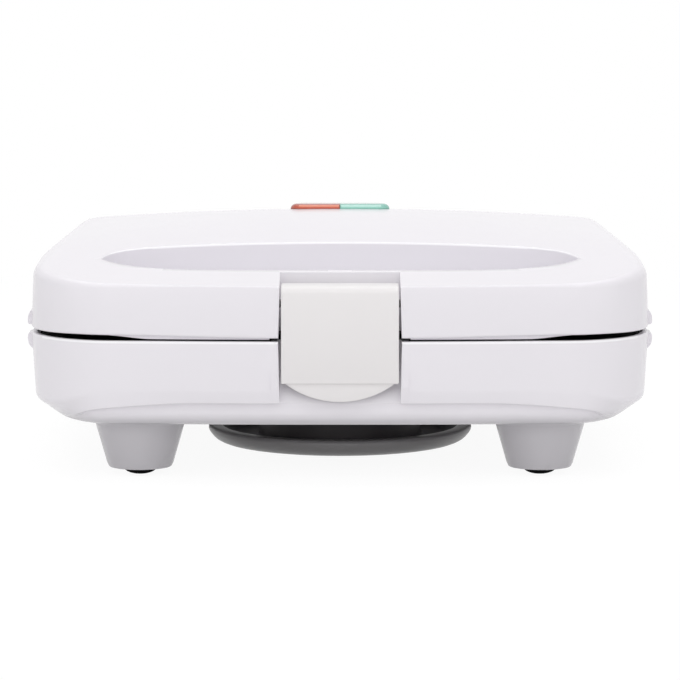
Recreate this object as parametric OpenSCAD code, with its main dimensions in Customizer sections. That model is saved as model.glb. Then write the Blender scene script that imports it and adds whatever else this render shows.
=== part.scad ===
// Countertop sandwich toaster: two white housings, hinged at the rear and held by a front clip.
// Millimetres. +Z up, the front faces -Y, the origin is on the table under the middle of the object.

/* [Body] */
// Width across the housings at the parting rims
body_w = 234; // [228:1:242]
// Depth from the front middle to the rear middle
body_d = 220; // [216:1:226]
// Plan radius of the front corners
front_corner_r = 31; // [28:1:36]
// Plan radius of the rear corners
rear_corner_r = 27; // [22:1:32]
// How far the front wall bows forward at its middle
front_bow = 6.5; // [4:0.5:8]
// How far the rear wall bows back at its middle
rear_bow = 3; // [1:0.5:4]
// Wall of both housings
wall = 2.6; // [2.2:0.1:3]

/* [Heights] */
// Height of the parting plane between the housings
parting_z = 55.1; // [53.5:0.1:57]
// Height of the flat underside above the table
underside_z = 21.7; // [20.1:0.2:22.9]
// Height of the lid's front edge
front_edge_z = 74.9; // [73.4:0.1:76]
// Height of the lid's side edges where the sides are widest
shoulder_z = 80.3; // [79:0.1:81.4]
// Height of the lid's rear edge
rear_edge_z = 69; // [67:0.2:71]
// Height of the lid's crest
crest_z = 91.9; // [90.4:0.1:93.4]
// Height of the crease that starts the base's lower wall
crease_z = 32.5; // [31:0.1:34]

/* [Lid] */
// Slope of the lid from its front edge up to the crest, in degrees
front_slope = 9.6; // [9:0.1:10]
// Slope of the lid from its rear edge up to the crest, in degrees
rear_slope = 16.8; // [15:0.1:18]
// Slope of the shoulders along the sides, in degrees
shoulder_slope = 40.5; // [38:0.5:43]
// Fall of the side edges over each 100 mm towards the rear
side_fall = 5.5; // [4:0.1:6.5]
// Fall of the crest from the middle to 100 mm aside
crown = 5.3; // [4.5:0.1:6]
// Gap between the lid rim and the base rim at the middle of the front
rim_gap = 1.2; // [1:0.1:1.6]
// How much wider that gap is towards the corners
rim_flare = 0.9; // [0.4:0.1:1.2]
// Edge radius of the lid at the middle of its front
edge_r_front = 0.7; // [0.5:0.1:2]
// Edge radius of the lid along its sides
edge_r_side = 5; // [4:0.1:6]

/* [Finger recess] */
// Width of the recess between its tips
recess_w = 181.6; // [160:0.2:186]
// Reach of the recess in front of its tips
recess_front_d = 16.1; // [14:0.1:17]
// Reach of the recess behind its tips
recess_rear_d = 22.7; // [20:0.1:24]
// Distance from the front middle back to the line through the tips
recess_from_front = 40; // [39:0.1:42]
// Height of the recess floor above the parting plane
recess_floor_h = 9.4; // [8.5:0.1:11]

/* [Latch] */
// Width of the latch
latch_w = 43.8; // [40:0.2:48]
// Height of the flat face of the latch
latch_face_h = 36.6; // [34:0.2:38]
// Height of the grip lip below the face
lip_h = 7; // [5:0.5:8]
// Thickness of the latch plate
latch_t = 3.4; // [3:0.1:4]
// How far the latch stands in front of the lid
latch_proud = 1.2; // [0.6:0.1:1.6]
// Side clearance of the latch in the lid's notch
latch_side_gap = 0.5; // [0.3:0.1:0.8]
// Radius of the latch pin
latch_pin_r = 1.5; // [1.2:0.1:1.8]
// Depth of the notch in the lid
notch_d = 20.7; // [19.6:0.1:21.4]

/* [Hinge] */
// Distance of each hinge station from the middle
hinge_x = 62; // [50:1:70]
// Radius of the hinge barrels
hinge_r = 6.5; // [6:0.1:7]
// Radius of the hinge pins
hinge_pin_r = 2.2; // [1.8:0.1:2.6]
// Width of each base ear
ear_w = 6; // [5:0.5:8]
// Width of the lid knuckle between two ears
knuckle_w = 14; // [10:1:18]
// Radial running clearance of the hinge and latch pins
pin_clearance = 0.06; // [0.03:0.01:0.09]

/* [Feet and bowl] */
// Distance of the foot axes from the middle, left and right
foot_x = 76; // [74:1:78]
// Distance of the foot axes from the middle, front and rear
foot_y = 74; // [72:1:77]
// Radius of a foot where it leaves the underside
foot_top_r = 17; // [15:0.1:17.5]
// Radius of a foot at its bottom
foot_bottom_r = 12.2; // [11:0.1:13]
// How far the rubber pads stand below the feet
pad_proud = 2.7; // [1.8:0.1:3]
// Radius of the rubber pads
pad_r = 6.2; // [5.5:0.1:7]
// Radius of the cord bowl
bowl_r = 51.6; // [48:0.2:53]
// Distance of the cord bowl in front of the middle
bowl_forward = 15; // [8:1:18]
// Height of the bowl's bottom above the table
bowl_bottom_z = 4.2; // [3:0.2:5.6]
// Height of the bowl's rim above its bottom
bowl_h = 6.7; // [5:0.1:8]
// Radius of the core that the cord wraps around
bowl_core_r = 31; // [27:1:34]

/* [Plates] */
// Distance from the rims' outline to the cooking plates at each side
plate_side_margin = 17; // [15.5:0.5:21]
// Distance from the front middle to the cooking plates
plate_front_margin = 68; // [66:0.5:72]
// Distance from the cooking plates to the rear middle
plate_rear_margin = 26; // [24.5:0.5:30]
// Depth of the triangular pockets
pocket_depth = 10.5; // [8:0.5:11]
// Thickness of the plate rims that lie on the liners
flange_t = 1.9; // [1.6:0.1:2.2]
// Metal left under the pockets
plate_web = 2.2; // [1.8:0.1:2.6]
// Radius of the tubular heaters
element_r = 3; // [2.5:0.1:3.3]

/* [Lamp window] */
// Length of the lamp window across the lid
window_w = 39.6; // [34:0.2:44]
// Width of the lamp window, front to rear
window_d = 10; // [8:0.5:12]
// How far the lenses stand above the lid
lens_proud = 2; // [1.4:0.1:2.6]
// Distance of the lamp window behind the middle of the plates
window_behind = 8; // [6:0.5:10]

/* [Small parts] */
// Radius of the screw shanks
screw_r = 1.5; // [1.3:0.1:1.7]
// Radius of the screw heads
screw_head_r = 3; // [2.7:0.1:3.2]
// Clearance between pieces that seat in each other
seat_gap = 0.2; // [0.15:0.05:0.3]

/* [Hidden] */
plate_w = body_w - 2 * plate_side_margin;
plate_d = body_d - plate_front_margin - plate_rear_margin;
plate_back = (plate_front_margin - plate_rear_margin) / 2;
window_back = plate_back + window_behind;

eps = 0.01;
half_w = body_w / 2;
// The straight front and rear lines that the bows stand on
front_y = body_d / 2 - front_bow;
rear_y = body_d / 2 - rear_bow;
corner_steps = 8;
white = [0.93, 0.92, 0.94];
warm_white = [0.90, 0.89, 0.88];
dark = [0.08, 0.08, 0.09];
coated = [0.13, 0.13, 0.14];
steel = [0.72, 0.73, 0.75];

// ---------- outlines and lofts ----------
function mix(a, b, t) = a + (b - a) * t;
function clamp01(t) = max(0, min(1, t));
function ease(a, b, v) = let (t = clamp01((v - a) / (b - a))) t * t * (3 - 2 * t);
function soft_min(a, b, k) =
    let (h = clamp01(0.5 + 0.5 * (b - a) / k)) mix(b, a, h) - k * h * (1 - h);
function arc(c, r, a0, a1, n) =
    [for (i = [0:n]) let (a = mix(a0, a1, i / n)) [c[0] + r * cos(a), c[1] + r * sin(a)]];
function run(p, q, n) = [for (i = [1:n - 1]) mix(p, q, i / n)];
function bowed(p) =
    let (k = p[1] < 0 ? front_bow / front_y : rear_bow / rear_y)
    [p[0], p[1] * (1 + k * (1 - pow(p[0] / half_w, 2)))];
// The housings' plan outline, drawn in by e from the rims' outline
function plan(e) =
    let (
        fx = half_w - front_corner_r, fy = front_corner_r - front_y, fr = front_corner_r - e,
        rx = half_w - rear_corner_r, ry = rear_y - rear_corner_r, rr = rear_corner_r - e)
    [for (p = concat(
        arc([fx, fy], fr, -90, 0, corner_steps),
        run([half_w - e, fy], [half_w - e, ry], 7),
        arc([rx, ry], rr, 0, 90, corner_steps),
        run([rx, rear_y - e], [-rx, rear_y - e], 9),
        arc([-rx, ry], rr, 90, 180, corner_steps),
        run([e - half_w, ry], [e - half_w, fy], 7),
        arc([-fx, fy], fr, 180, 270, corner_steps),
        run([-fx, e - front_y], [fx, e - front_y], 13))) bowed(p)];
function rounded_rect(w, d, r, n) = concat(
    arc([w / 2 - r, r - d / 2], r, -90, 0, n), arc([w / 2 - r, d / 2 - r], r, 0, 90, n),
    arc([r - w / 2, d / 2 - r], r, 90, 180, n), arc([r - w / 2, r - d / 2], r, 180, 270, n));
function middle(ring) = [for (k = [0:2]) [for (p = ring) p[k]] * [for (p = ring) 1] / len(ring)];

// Skin over rings of equal length, each running anticlockwise, listed from the bottom up
module loft(rings) {
    n = len(rings[0]);
    last = len(rings) - 1;
    points = concat([for (ring = rings) each ring], [middle(rings[0]), middle(rings[last])]);
    sides = [for (j = [0:last - 1], i = [0:n - 1]) let (k = (i + 1) % n, a = j * n, b = a + n)
        each [[a + i, b + i, a + k], [a + k, b + i, b + k]]];
    ends = [for (i = [0:n - 1]) let (k = (i + 1) % n, m = len(points) - 2)
        each [[i, k, m], [last * n + k, last * n + i, m + 1]]];
    polyhedron(points, concat(sides, ends), convexity = 8);
}
module along_x(x0, x1) {
    translate([x0, 0, 0]) rotate([90, 0, 90]) linear_extrude(x1 - x0) children();
}
module along_y(y0, y1) {
    translate([0, y1, 0]) rotate([90, 0, 0]) linear_extrude(y1 - y0) children();
}
module pin_x(x0, x1, y, z, r) {
    translate([x0, y, z]) rotate([0, 90, 0]) cylinder(h = x1 - x0, r = r, $fn = 48);
}
module mirrored_x() {
    children();
    mirror([1, 0, 0]) children();
}
module at_points(list) {
    for (p = list) translate([p[0], p[1], 0]) children();
}
// Moves the body's own middle so that the origin lies under the middle of the whole object
module in_frame() {
    translate([0, -(hinge_y + hinge_r + latch_front_y) / 2, 0]) children();
}

// ---------- lid form ----------
draft_lid = 0.8;
base_rim_z = parting_z - rim_gap / 2;
function lid_rim_z(x) =
    parting_z + rim_gap / 2 + rim_flare * (ease(25, 85, abs(x)) - 0.6 * ease(96, half_w, abs(x)));
// Height of the lid's outer surface over a point
function top_z(x, y) =
    let (
        front = front_edge_z + (y + body_d / 2) * tan(front_slope),
        rear = rear_edge_z + (body_d / 2 - y) * tan(rear_slope),
        widest_y = body_d / 2 - front_bow - front_corner_r,
        edge = shoulder_z - side_fall * (y + widest_y) / 100,
        side = edge + (half_w - draft_lid - abs(x)) * tan(shoulder_slope),
        top = crest_z - crown * pow(x / 100, 2))
    soft_min(soft_min(front, rear, 6), soft_min(side, top, 4), 5);
function edge_r(x) = mix(edge_r_front, edge_r_side, pow(x / half_w, 4));
function on_top(points, drop) = [for (p = points) [p[0], p[1], top_z(p[0], p[1]) - drop]];
function lid_edge_ring(a) =
    [for (i = [0:len(plan(0)) - 1]) let (
        r = edge_r(plan(0)[i][0]),
        p = plan(draft_lid + r * (1 - cos(a)))[i])
        [p[0], p[1], top_z(p[0], p[1]) - r * (1 - sin(a))]];
function shrunk(points, s) = [for (p = points) [p[0] * s, p[1] * s]];
lid_shrinks = [0.9, 0.74, 0.56, 0.36, 0.18, 0.05];

// Inset of the ring from which the lid's top closes to its middle
core_e = 16;
module lid_outer() {
    loft(concat(
        [for (q = [[1, 0], [0.3, 0.35], [0, 1.1]])
            [for (p = plan(q[0])) [p[0], p[1], lid_rim_z(p[0]) + q[1]]]],
        [for (a = [0, 30, 60, 90]) lid_edge_ring(a)],
        [for (e = [10, core_e]) on_top(plan(e), 0)],
        [for (s = lid_shrinks) on_top(shrunk(plan(core_e), s), 0)]));
}
module lid_inner() {
    e0 = draft_lid + wall;
    loft(concat(
        [for (p = [plan(wall)]) [for (q = p) [q[0], q[1], parting_z - 5]]],
        [on_top(plan(e0), wall + edge_r_side + 1), on_top(plan(e0 + 1.6), wall + 2.2),
            on_top(plan(e0 + 5), wall), on_top(plan(core_e), wall)],
        [for (s = [0.8, 0.55, 0.3, 0.08]) on_top(shrunk(plan(core_e), s), wall)]));
}

// Recess outline: flat in front, arched behind, running out to a tip at each side
recess_y = recess_from_front - body_d / 2;
function signed_pow(v, k) = sign(v) * pow(abs(v), k);
function recess_reach(t, rear, grow) = rear
    ? (recess_rear_d + grow) * (1 - 0.5 * t * t) * pow(1 - pow(t, 16), 0.8)
    : -(recess_front_d + grow) * pow(1 - pow(t, 6.5), 0.9);
function recess_outline(grow) =
    let (n = 56, reach_x = recess_w / 2 + grow)
    [for (i = [0:n - 1]) let (
        a = 360 * i / n,
        x = reach_x * signed_pow(cos(a), 0.6))
        [x, recess_y + recess_reach(min(1, abs(x) / reach_x), sin(a) > 0, grow)]];
function recess_ring(grow, z) = [for (p = recess_outline(grow)) [p[0], p[1], z]];
recess_floor_z = parting_z + recess_floor_h;
module recess_cut() {
    loft([recess_ring(-4.5, recess_floor_z), recess_ring(-2.6, recess_floor_z + 0.9),
        recess_ring(-1.6, recess_floor_z + 3), recess_ring(0, crest_z + 6)]);
}
module recess_tub() {
    loft([recess_ring(-2, recess_floor_z - wall), recess_ring(0.6, recess_floor_z - wall / 3),
        [for (p = recess_outline(wall - 0.3)) [p[0], p[1], top_z(p[0], p[1]) - wall / 2]]]);
}

// ---------- latch places ----------
notch_back_y = notch_d - body_d / 2;
latch_front_y = -body_d / 2 - latch_proud + draft_lid;
latch_top_z = front_edge_z + 0.5;
latch_bottom_z = latch_top_z - latch_face_h;
latch_pin_y = latch_front_y + 10;
latch_pin_z = latch_top_z - 7.5;
latch_barrel_r = 4;
notch_half_w = latch_w / 2 + latch_side_gap;
notch_flare = 1;
pocket_back_y = latch_front_y + latch_t + 6;
catch_z = latch_bottom_z + 7;

module notch_cut() {
    along_y(-body_d, notch_back_y) polygon([
        [-notch_half_w - notch_flare, parting_z - 6], [notch_half_w + notch_flare, parting_z - 6],
        [notch_half_w, crest_z], [-notch_half_w, crest_z]]);
}
// The notch's own walls, whose top stays inside the lid's skin
module notch_walls() {
    x = notch_half_w + notch_flare + wall;
    y0 = 1.2 - body_d / 2;
    y1 = notch_back_y + wall;
    along_x(-x, x) polygon([[y0, lid_rim_z(0) + 0.5], [y1, lid_rim_z(0) + 0.5],
        [y1, top_z(0, y1) - wall / 2], [y0 + 4, top_z(0, y0 + 4) - wall / 2],
        [y0, front_edge_z - 3]]);
}

// ---------- base form ----------
arch_top_z = crease_z - 1.7;
// The side crease lies lower than the front and rear ones
front_crease_rise = 4.7;
front_crease_drop = 1.7;
side_crease_drop = 1.9;
function front_crease_z(x) =
    crease_z - front_crease_drop + front_crease_rise * (1 - pow(x / half_w, 6));
function arch_z(x) =
    mix(arch_top_z - 1.9 * pow(x / 88, 2), underside_z + 0.8, ease(90, 102, abs(x)));
// How far a point of the outline belongs to a side (1) or to the front or rear (0)
function sideness(p) = ease(0.74, 0.93, abs(p[0]) / half_w);
function lower_ring(front_e, side_e, kind, front_dz, side_z) =
    let (rim = plan(0), inner = plan(front_e), outer = plan(side_e))
    [for (i = [0:len(rim) - 1]) let (
        w = sideness(rim[i]),
        p = mix(inner[i], outer[i], w),
        arch = p[1] < 0 ? arch_z(p[0]) : underside_z + 2,
        z = kind == "crease" ? front_crease_z(p[0]) + front_dz : kind == "arch" ? arch + front_dz
            : kind == "belly" ? mix(underside_z, arch, front_dz) : front_dz)
        [p[0], p[1], mix(z, side_z, w)]];
function level_ring(e, z) = [for (p = plan(e)) [p[0], p[1], z]];
belly_e = 5.6;
apron_e = 3.2;
side_crease_z = crease_z - side_crease_drop;
module base_outer() {
    u = underside_z;
    loft([
        lower_ring(belly_e + 9, 18, "level", u, u),
        lower_ring(belly_e + 4.6, 15.2, "belly", 0.04, u + 0.02),
        lower_ring(belly_e + 2, 13.8, "belly", 0.18, u + 0.15),
        lower_ring(belly_e + 0.6, 12.6, "belly", 0.45, u + 0.5),
        lower_ring(belly_e, 11.6, "arch", 0.1, u + 1),
        lower_ring(apron_e + 0.4, 10.6, "arch", 0, u + 1.6),
        lower_ring(apron_e, 9.5, "arch", 0.4, u + 2.3),
        lower_ring(2.2, 2.3, "crease", -0.8, side_crease_z - 1.9),
        lower_ring(1.8, 1.2, "crease", 0, side_crease_z),
        lower_ring(1.5, 0.9, "crease", 0.8, side_crease_z + 1.6),
        level_ring(0, base_rim_z - 1.1),
        level_ring(0.3, base_rim_z - 0.3),
        level_ring(1, base_rim_z)]);
}
floor_z = underside_z + wall;
module base_inner() {
    loft([
        lower_ring(belly_e + wall + 7, 18.6, "level", floor_z, floor_z),
        lower_ring(belly_e + wall + 1.2, 14, "level", floor_z + 4, floor_z + 1.8),
        lower_ring(wall + 1.6, wall + 2.4, "crease", 2, side_crease_z + 2.4),
        level_ring(wall, parting_z + 5)]);
}
// Where the front of the belly lies in the middle
belly_front_y = -(front_y - belly_e) * (1 + front_bow / front_y);
module base_pocket_walls() {
    x = notch_half_w + notch_flare + wall;
    y0 = 1.2 - body_d / 2;
    along_x(-x, x) polygon([[y0, front_crease_z(0) + 2], [y0 + 2, arch_top_z + 1.2],
        [belly_front_y + wall, arch_top_z - 1], [pocket_back_y + wall, latch_bottom_z],
        [pocket_back_y + wall, base_rim_z - 0.4], [y0, base_rim_z - 0.4]]);
}
// The pocket's back slopes forward at its lower end, to meet the belly
module base_pocket_cut() {
    x = notch_half_w + notch_flare;
    low = belly_front_y - 0.25;
    intersection() {
        along_x(-x, x) polygon([[-body_d, underside_z], [low, underside_z], [low, arch_top_z + 0.6],
            [pocket_back_y, latch_bottom_z + 1], [pocket_back_y, parting_z + 5], [-body_d, parting_z + 5]]);
        along_y(-body_d, 0) polygon([[-x + 0.6, underside_z], [x - 0.6, underside_z],
            [x, parting_z + 5], [-x, parting_z + 5]]);
    }
}

// ---------- shared places ----------
bottom_of_foot = pad_proud;
foot_places = [[foot_x, -foot_y], [-foot_x, -foot_y], [-foot_x, foot_y], [foot_x, foot_y]];
pad_seat = 2.4;
deck_t = 2;
// Running gap between the rims of the two cooking plates
plate_gap = 0.4;
lower_rim_z = parting_z - plate_gap / 2;
upper_rim_z = parting_z + plate_gap / 2;
base_deck_z = lower_rim_z - flange_t - deck_t;
lid_deck_z = upper_rim_z + flange_t;
flange_overlap = 3;
plate_r = 15;
plate_inner_r = plate_r - flange_overlap;
plate_under_z = lower_rim_z - pocket_depth - plate_web - 1;
plate_over_z = upper_rim_z + pocket_depth + plate_web + 1;
post_r = 4.5;
post_joint_z = base_deck_z - 8;
post_x = 48;
front_post_y = 40 - body_d / 2;
rear_post_y = plate_back + plate_d / 2 + screw_head_r + 0.6;
post_places = [for (x = [-post_x, post_x], y = [front_post_y, rear_post_y]) [x, y]];
strap_post_x = plate_w / 2 + screw_head_r + 0.6;
strap_post_r = 4;
strap_places = [for (x = [-strap_post_x, strap_post_x]) [x, plate_back]];
lid_post_y = plate_back - plate_d / 2 + 2;
lid_post_places = [for (x = [-1, 1], p = [[strap_post_x, lid_post_y], [post_x, rear_post_y]])
    [x * p[0], p[1]]];
hinge_z = parting_z + 0.4;
hinge_half = knuckle_w / 2 + seat_gap + ear_w;
hinge_y = rear_y + rear_bow + 0.6 + hinge_r;
gland_z = mix(underside_z, parting_z, 0.55);
gland_r = 6.5;
cord_hole_r = 3.6;
bowl_boss_h = 5.5;
lug_y = 36 - body_d / 2;
vent_count = 5;

module hinge_ears() {
    for (side = [-1, 1]) {
        x0 = hinge_x + (side > 0 ? knuckle_w / 2 + seat_gap : -hinge_half);
        pin_x(x0, x0 + ear_w, hinge_y, hinge_z, hinge_r);
        along_x(x0, x0 + ear_w) polygon([[rear_y, crease_z + 6], [hinge_y - 3, crease_z + 8],
            [hinge_y + 5, hinge_z - 3.4], [hinge_y, hinge_z], [hinge_y - 3.4, base_rim_z - 1.2],
            [rear_y, base_rim_z - 1.2]]);
    }
}
module lug(z0, z1) {
    // A short rounded bump, low at its outer end
    translate([half_w - 1.2, lug_y, 0]) rotate([90, 0, 0]) translate([0, 0, -5])
        linear_extrude(10) polygon([[-2, z0], [2, z0], [2.6, mix(z0, z1, 0.12)],
            [2.5, mix(z0, z1, 0.55)], [1.4, mix(z0, z1, 0.85)], [0.2, z1], [-2, z1]]);
}

// Foot: a taper that flares where it joins the underside
module foot() {
    h = underside_z - bottom_of_foot;
    function foot_r(z) = mix(foot_bottom_r, foot_top_r, z / (h + 2));
    rotate_extrude($fn = 64) polygon([[0, 0], [foot_bottom_r - 0.6, 0], [foot_bottom_r, 0.6],
        [foot_r(h - 6) + 0.1, h - 6], [foot_r(h - 3) + 0.5, h - 3], [foot_r(h - 1) + 1.2, h - 1],
        [foot_r(h) + 2.2, h], [foot_r(h) + 2.2, h + wall - 0.4], [0, h + wall - 0.4]]);
}
module base_shell() color(white) in_frame() difference() {
    union() {
        difference() {
            base_outer();
            base_inner();
        }
        base_pocket_walls();
        at_points(foot_places) translate([0, 0, bottom_of_foot]) foot();
        at_points(post_places) translate([0, 0, floor_z - 1])
            cylinder(h = post_joint_z - floor_z + 1, r = post_r, $fn = 32);
        translate([0, -bowl_forward, floor_z - 1]) cylinder(h = bowl_boss_h + 1, r = 5, $fn = 32);
        mirrored_x() hinge_ears();
        mirrored_x() lug(base_rim_z - 0.8, base_rim_z - 7);
    }
    base_pocket_cut();
    at_points(foot_places) {
        translate([0, 0, bottom_of_foot - 1])
            cylinder(h = pad_seat + 1, r = pad_r + seat_gap / 2, $fn = 48);
        translate([0, 0, bottom_of_foot + pad_seat + 2]) cylinder(
            h = floor_z - bottom_of_foot - pad_seat + 2,
            r1 = foot_bottom_r - 2.2, r2 = foot_top_r - 2.2, $fn = 48);
    }
    at_points(post_places) {
        translate([0, 0, underside_z - 1])
            cylinder(h = post_joint_z - underside_z - 2, r = screw_head_r + 0.4, $fn = 32);
        translate([0, 0, floor_z]) cylinder(h = post_joint_z, r = screw_r + 0.2, $fn = 32);
    }
    translate([0, -bowl_forward, underside_z - 1])
        cylinder(h = bowl_boss_h + wall, r = screw_r + screw_gap, $fn = 32);
    mirrored_x() pin_x(hinge_x - hinge_half - 1, hinge_x + hinge_half + 1, hinge_y, hinge_z, hinge_pin_r);
    translate([0, rear_y - 12, gland_z]) rotate([-90, 0, 0]) cylinder(h = 24, r = gland_r, $fn = 48);
    for (i = [0:vent_count - 1]) translate([(i - (vent_count - 1) / 2) * 9, foot_y - 8, underside_z - 1])
        linear_extrude(wall + 2) polygon(rounded_rect(3, 24, 1.4, 4));
}

// ---------- base contents ----------
module deck(z, e, cut_y, opening) {
    translate([0, 0, z]) linear_extrude(deck_t) difference() {
        polygon(plan(e));
        translate([0, plate_back]) polygon(rounded_rect(plate_w - 2 * flange_overlap + opening,
            plate_d - 2 * flange_overlap + opening, plate_inner_r, 6));
        translate([-notch_half_w - notch_flare - wall - seat_gap, -body_d])
            square([2 * (notch_half_w + notch_flare + wall + seat_gap), body_d + cut_y]);
    }
}
module base_liner() color(dark) in_frame() difference() {
    union() {
        deck(base_deck_z, wall + 0.9, pocket_back_y + wall + seat_gap, 2 * seat_gap);
        at_points(post_places) translate([0, 0, post_joint_z])
            cylinder(h = base_deck_z - post_joint_z + 0.5, r = post_r, $fn = 32);
        at_points(strap_places) translate([0, 0, lower_tray_z])
            cylinder(h = base_deck_z - lower_tray_z + 0.5, r = strap_post_r, $fn = 32);
    }
    at_points(post_places) translate([0, 0, post_joint_z - 1])
        cylinder(h = screw_grip + 1.2, r = screw_r + screw_gap, $fn = 32);
    at_points(strap_places) translate([0, 0, lower_tray_z - 1])
        cylinder(h = screw_grip + 1.2, r = screw_r + screw_gap, $fn = 32);
}
module lid_liner() color(dark) in_frame() difference() {
    union() {
        deck(lid_deck_z, wall + 1, notch_back_y + wall + seat_gap, 2 * seat_gap);
        at_points(strap_places) translate([0, 0, lid_deck_z + deck_t - 0.5])
            cylinder(h = upper_tray_top_z - lid_deck_z - deck_t + 0.5, r = strap_post_r, $fn = 32);
    }
    at_points(strap_places) translate([0, 0, upper_tray_top_z - screw_grip - 0.2])
        cylinder(h = screw_grip + 2, r = screw_r + screw_gap, $fn = 32);
    at_points(lid_post_places) translate([0, 0, lid_deck_z - 1])
        cylinder(h = deck_t + 2, r = screw_r + seat_gap, $fn = 32);
}

// Corner arcs of a triangle drawn in by d and rounded by r
function incentre(t) =
    let (a = norm(t[1] - t[2]), b = norm(t[2] - t[0]), c = norm(t[0] - t[1]))
    (a * t[0] + b * t[1] + c * t[2]) / (a + b + c);
function inradius(t) =
    let (a = norm(t[1] - t[2]), b = norm(t[2] - t[0]), c = norm(t[0] - t[1]))
    abs(cross(t[1] - t[0], t[2] - t[0])) / (a + b + c);
function heading(v) = atan2(v[1], v[0]);
function triangle_ring(t, d, r, z) =
    let (m = incentre(t), k = 1 - (d + r) / inradius(t))
    [for (i = [0:2]) let (
        c = m + (t[i] - m) * k,
        h0 = heading(t[i] - t[(i + 2) % 3]) - 90,
        turn = heading(t[(i + 1) % 3] - t[i]) - 90 - h0,
        sweep = turn < 0 ? turn + 360 : turn)
        for (j = [0:4]) let (a = h0 + sweep * j / 4) [c[0] + r * cos(a), c[1] + r * sin(a), z]];
// One drafted, dished pocket, open at z = 0
module pocket(t) {
    loft([triangle_ring(t, 9, 5, -pocket_depth), triangle_ring(t, 5, 6, 0.8 - pocket_depth),
        triangle_ring(t, 2.4, 6, 3.5 - pocket_depth), triangle_ring(t, 0, 6, 0),
        triangle_ring(t, -0.6, 6, 1)]);
}
module cooking_plate() {
    inner_w = plate_w - 2 * flange_overlap;
    inner_d = plate_d - 2 * flange_overlap;
    x0 = 2.5;
    x1 = inner_w / 2 - 5;
    y = inner_d / 2 - 5;
    ridge = 5;
    difference() {
        union() {
            translate([0, 0, -flange_t]) linear_extrude(flange_t)
                polygon(rounded_rect(plate_w, plate_d, plate_r, 6));
            translate([0, 0, -pocket_depth - plate_web - 1])
                linear_extrude(pocket_depth + plate_web + 1 - eps)
                polygon(rounded_rect(inner_w, inner_d, plate_inner_r, 6));
        }
        mirrored_x() {
            pocket([[x0 + ridge, -y], [x1, -y], [x1, y - ridge]]);
            pocket([[x0, ridge - y], [x1 - ridge, y], [x0, y]]);
        }
    }
}
module lower_plate() color(coated) in_frame() translate([0, plate_back, lower_rim_z]) cooking_plate();

// A heater bent to a rounded rectangle, with both ends turned back to the rear
element_side_margin = 36;
element_end_margin = 30;
element_w = plate_w - 2 * element_side_margin;
element_d = plate_d - 2 * element_end_margin;
element_bend = 16;
element_end_x = 14;
tail_l = 12;
module bend(x, y, a0) {
    translate([x, y, 0]) rotate([0, 0, a0]) rotate_extrude(angle = 90, $fn = 48)
        translate([element_bend, 0]) circle(r = element_r, $fn = 24);
}
module straight(p, q) {
    d = q - p;
    translate([p[0], p[1], 0]) rotate([0, 0, atan2(d[1], d[0])]) rotate([0, 90, 0])
        cylinder(h = norm(d), r = element_r, $fn = 24);
}
module heater() {
    w = element_w / 2;
    d = element_d / 2;
    b = element_bend;
    straight([b - w, -d], [w - b, -d]);
    mirrored_x() {
        bend(w - b, b - d, -90);
        straight([w, b - d], [w, d - b]);
        bend(w - b, d - b, 0);
        straight([w - b, d], [element_end_x + b, d]);
        translate([element_end_x + b, d + b, 0]) rotate([0, 0, 180]) rotate_extrude(angle = 90, $fn = 48)
            translate([b, 0]) circle(r = element_r, $fn = 24);
    }
}
element_gap = 0.3;
lower_element_z = plate_under_z - element_gap - element_r;
upper_element_z = plate_over_z + element_gap + element_r;
module lower_element() color(steel) in_frame() translate([0, plate_back, lower_element_z]) heater();

tray_w = element_w + 22;
tray_d = element_d + 30;
tray_t = 0.8;
tray_h = 2 * element_r + 2 * element_gap;
// Sheet tray, open towards the plate, with a notch in its rear wall for the heater's ends
module tray() {
    difference() {
        linear_extrude(tray_h + tray_t) polygon(rounded_rect(tray_w, tray_d, 12, 6));
        translate([0, 0, tray_t]) linear_extrude(tray_h + 1)
            polygon(rounded_rect(tray_w - 2 * tray_t, tray_d - 2 * tray_t, 12 - tray_t, 6));
        translate([-element_end_x - 6, element_d / 2, tray_t + 0.2])
            cube([2 * element_end_x + 12, tray_d, tray_h + 1]);
    }
}
lower_tray_z = plate_under_z - tray_h - tray_t;
upper_tray_top_z = plate_over_z + tray_h + tray_t;
module lower_reflector() color(steel) in_frame() translate([0, plate_back, lower_tray_z]) tray();
module upper_plate() color(coated) in_frame() translate([0, plate_back, upper_rim_z])
    mirror([0, 0, 1]) cooking_plate();
module upper_element() color(steel) in_frame() translate([0, plate_back, upper_element_z]) heater();
module upper_reflector() color(steel) in_frame() translate([0, plate_back, upper_tray_top_z])
    mirror([0, 0, 1]) tray();

// Flat bar that holds a tray and its plate against the liner
strap_t = 1.2;
strap_w = 12;
module strap() {
    difference() {
        translate([0, plate_back]) linear_extrude(strap_t)
            polygon(rounded_rect(2 * (strap_post_x + strap_post_r), strap_w, 3, 4));
        at_points(strap_places) translate([0, 0, -1])
            cylinder(h = strap_t + 2, r = screw_r + seat_gap, $fn = 32);
    }
}
module lower_strap() color(steel) in_frame() translate([0, 0, lower_tray_z - strap_t]) strap();
module upper_strap() color(steel) in_frame() translate([0, 0, upper_tray_top_z]) strap();

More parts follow.
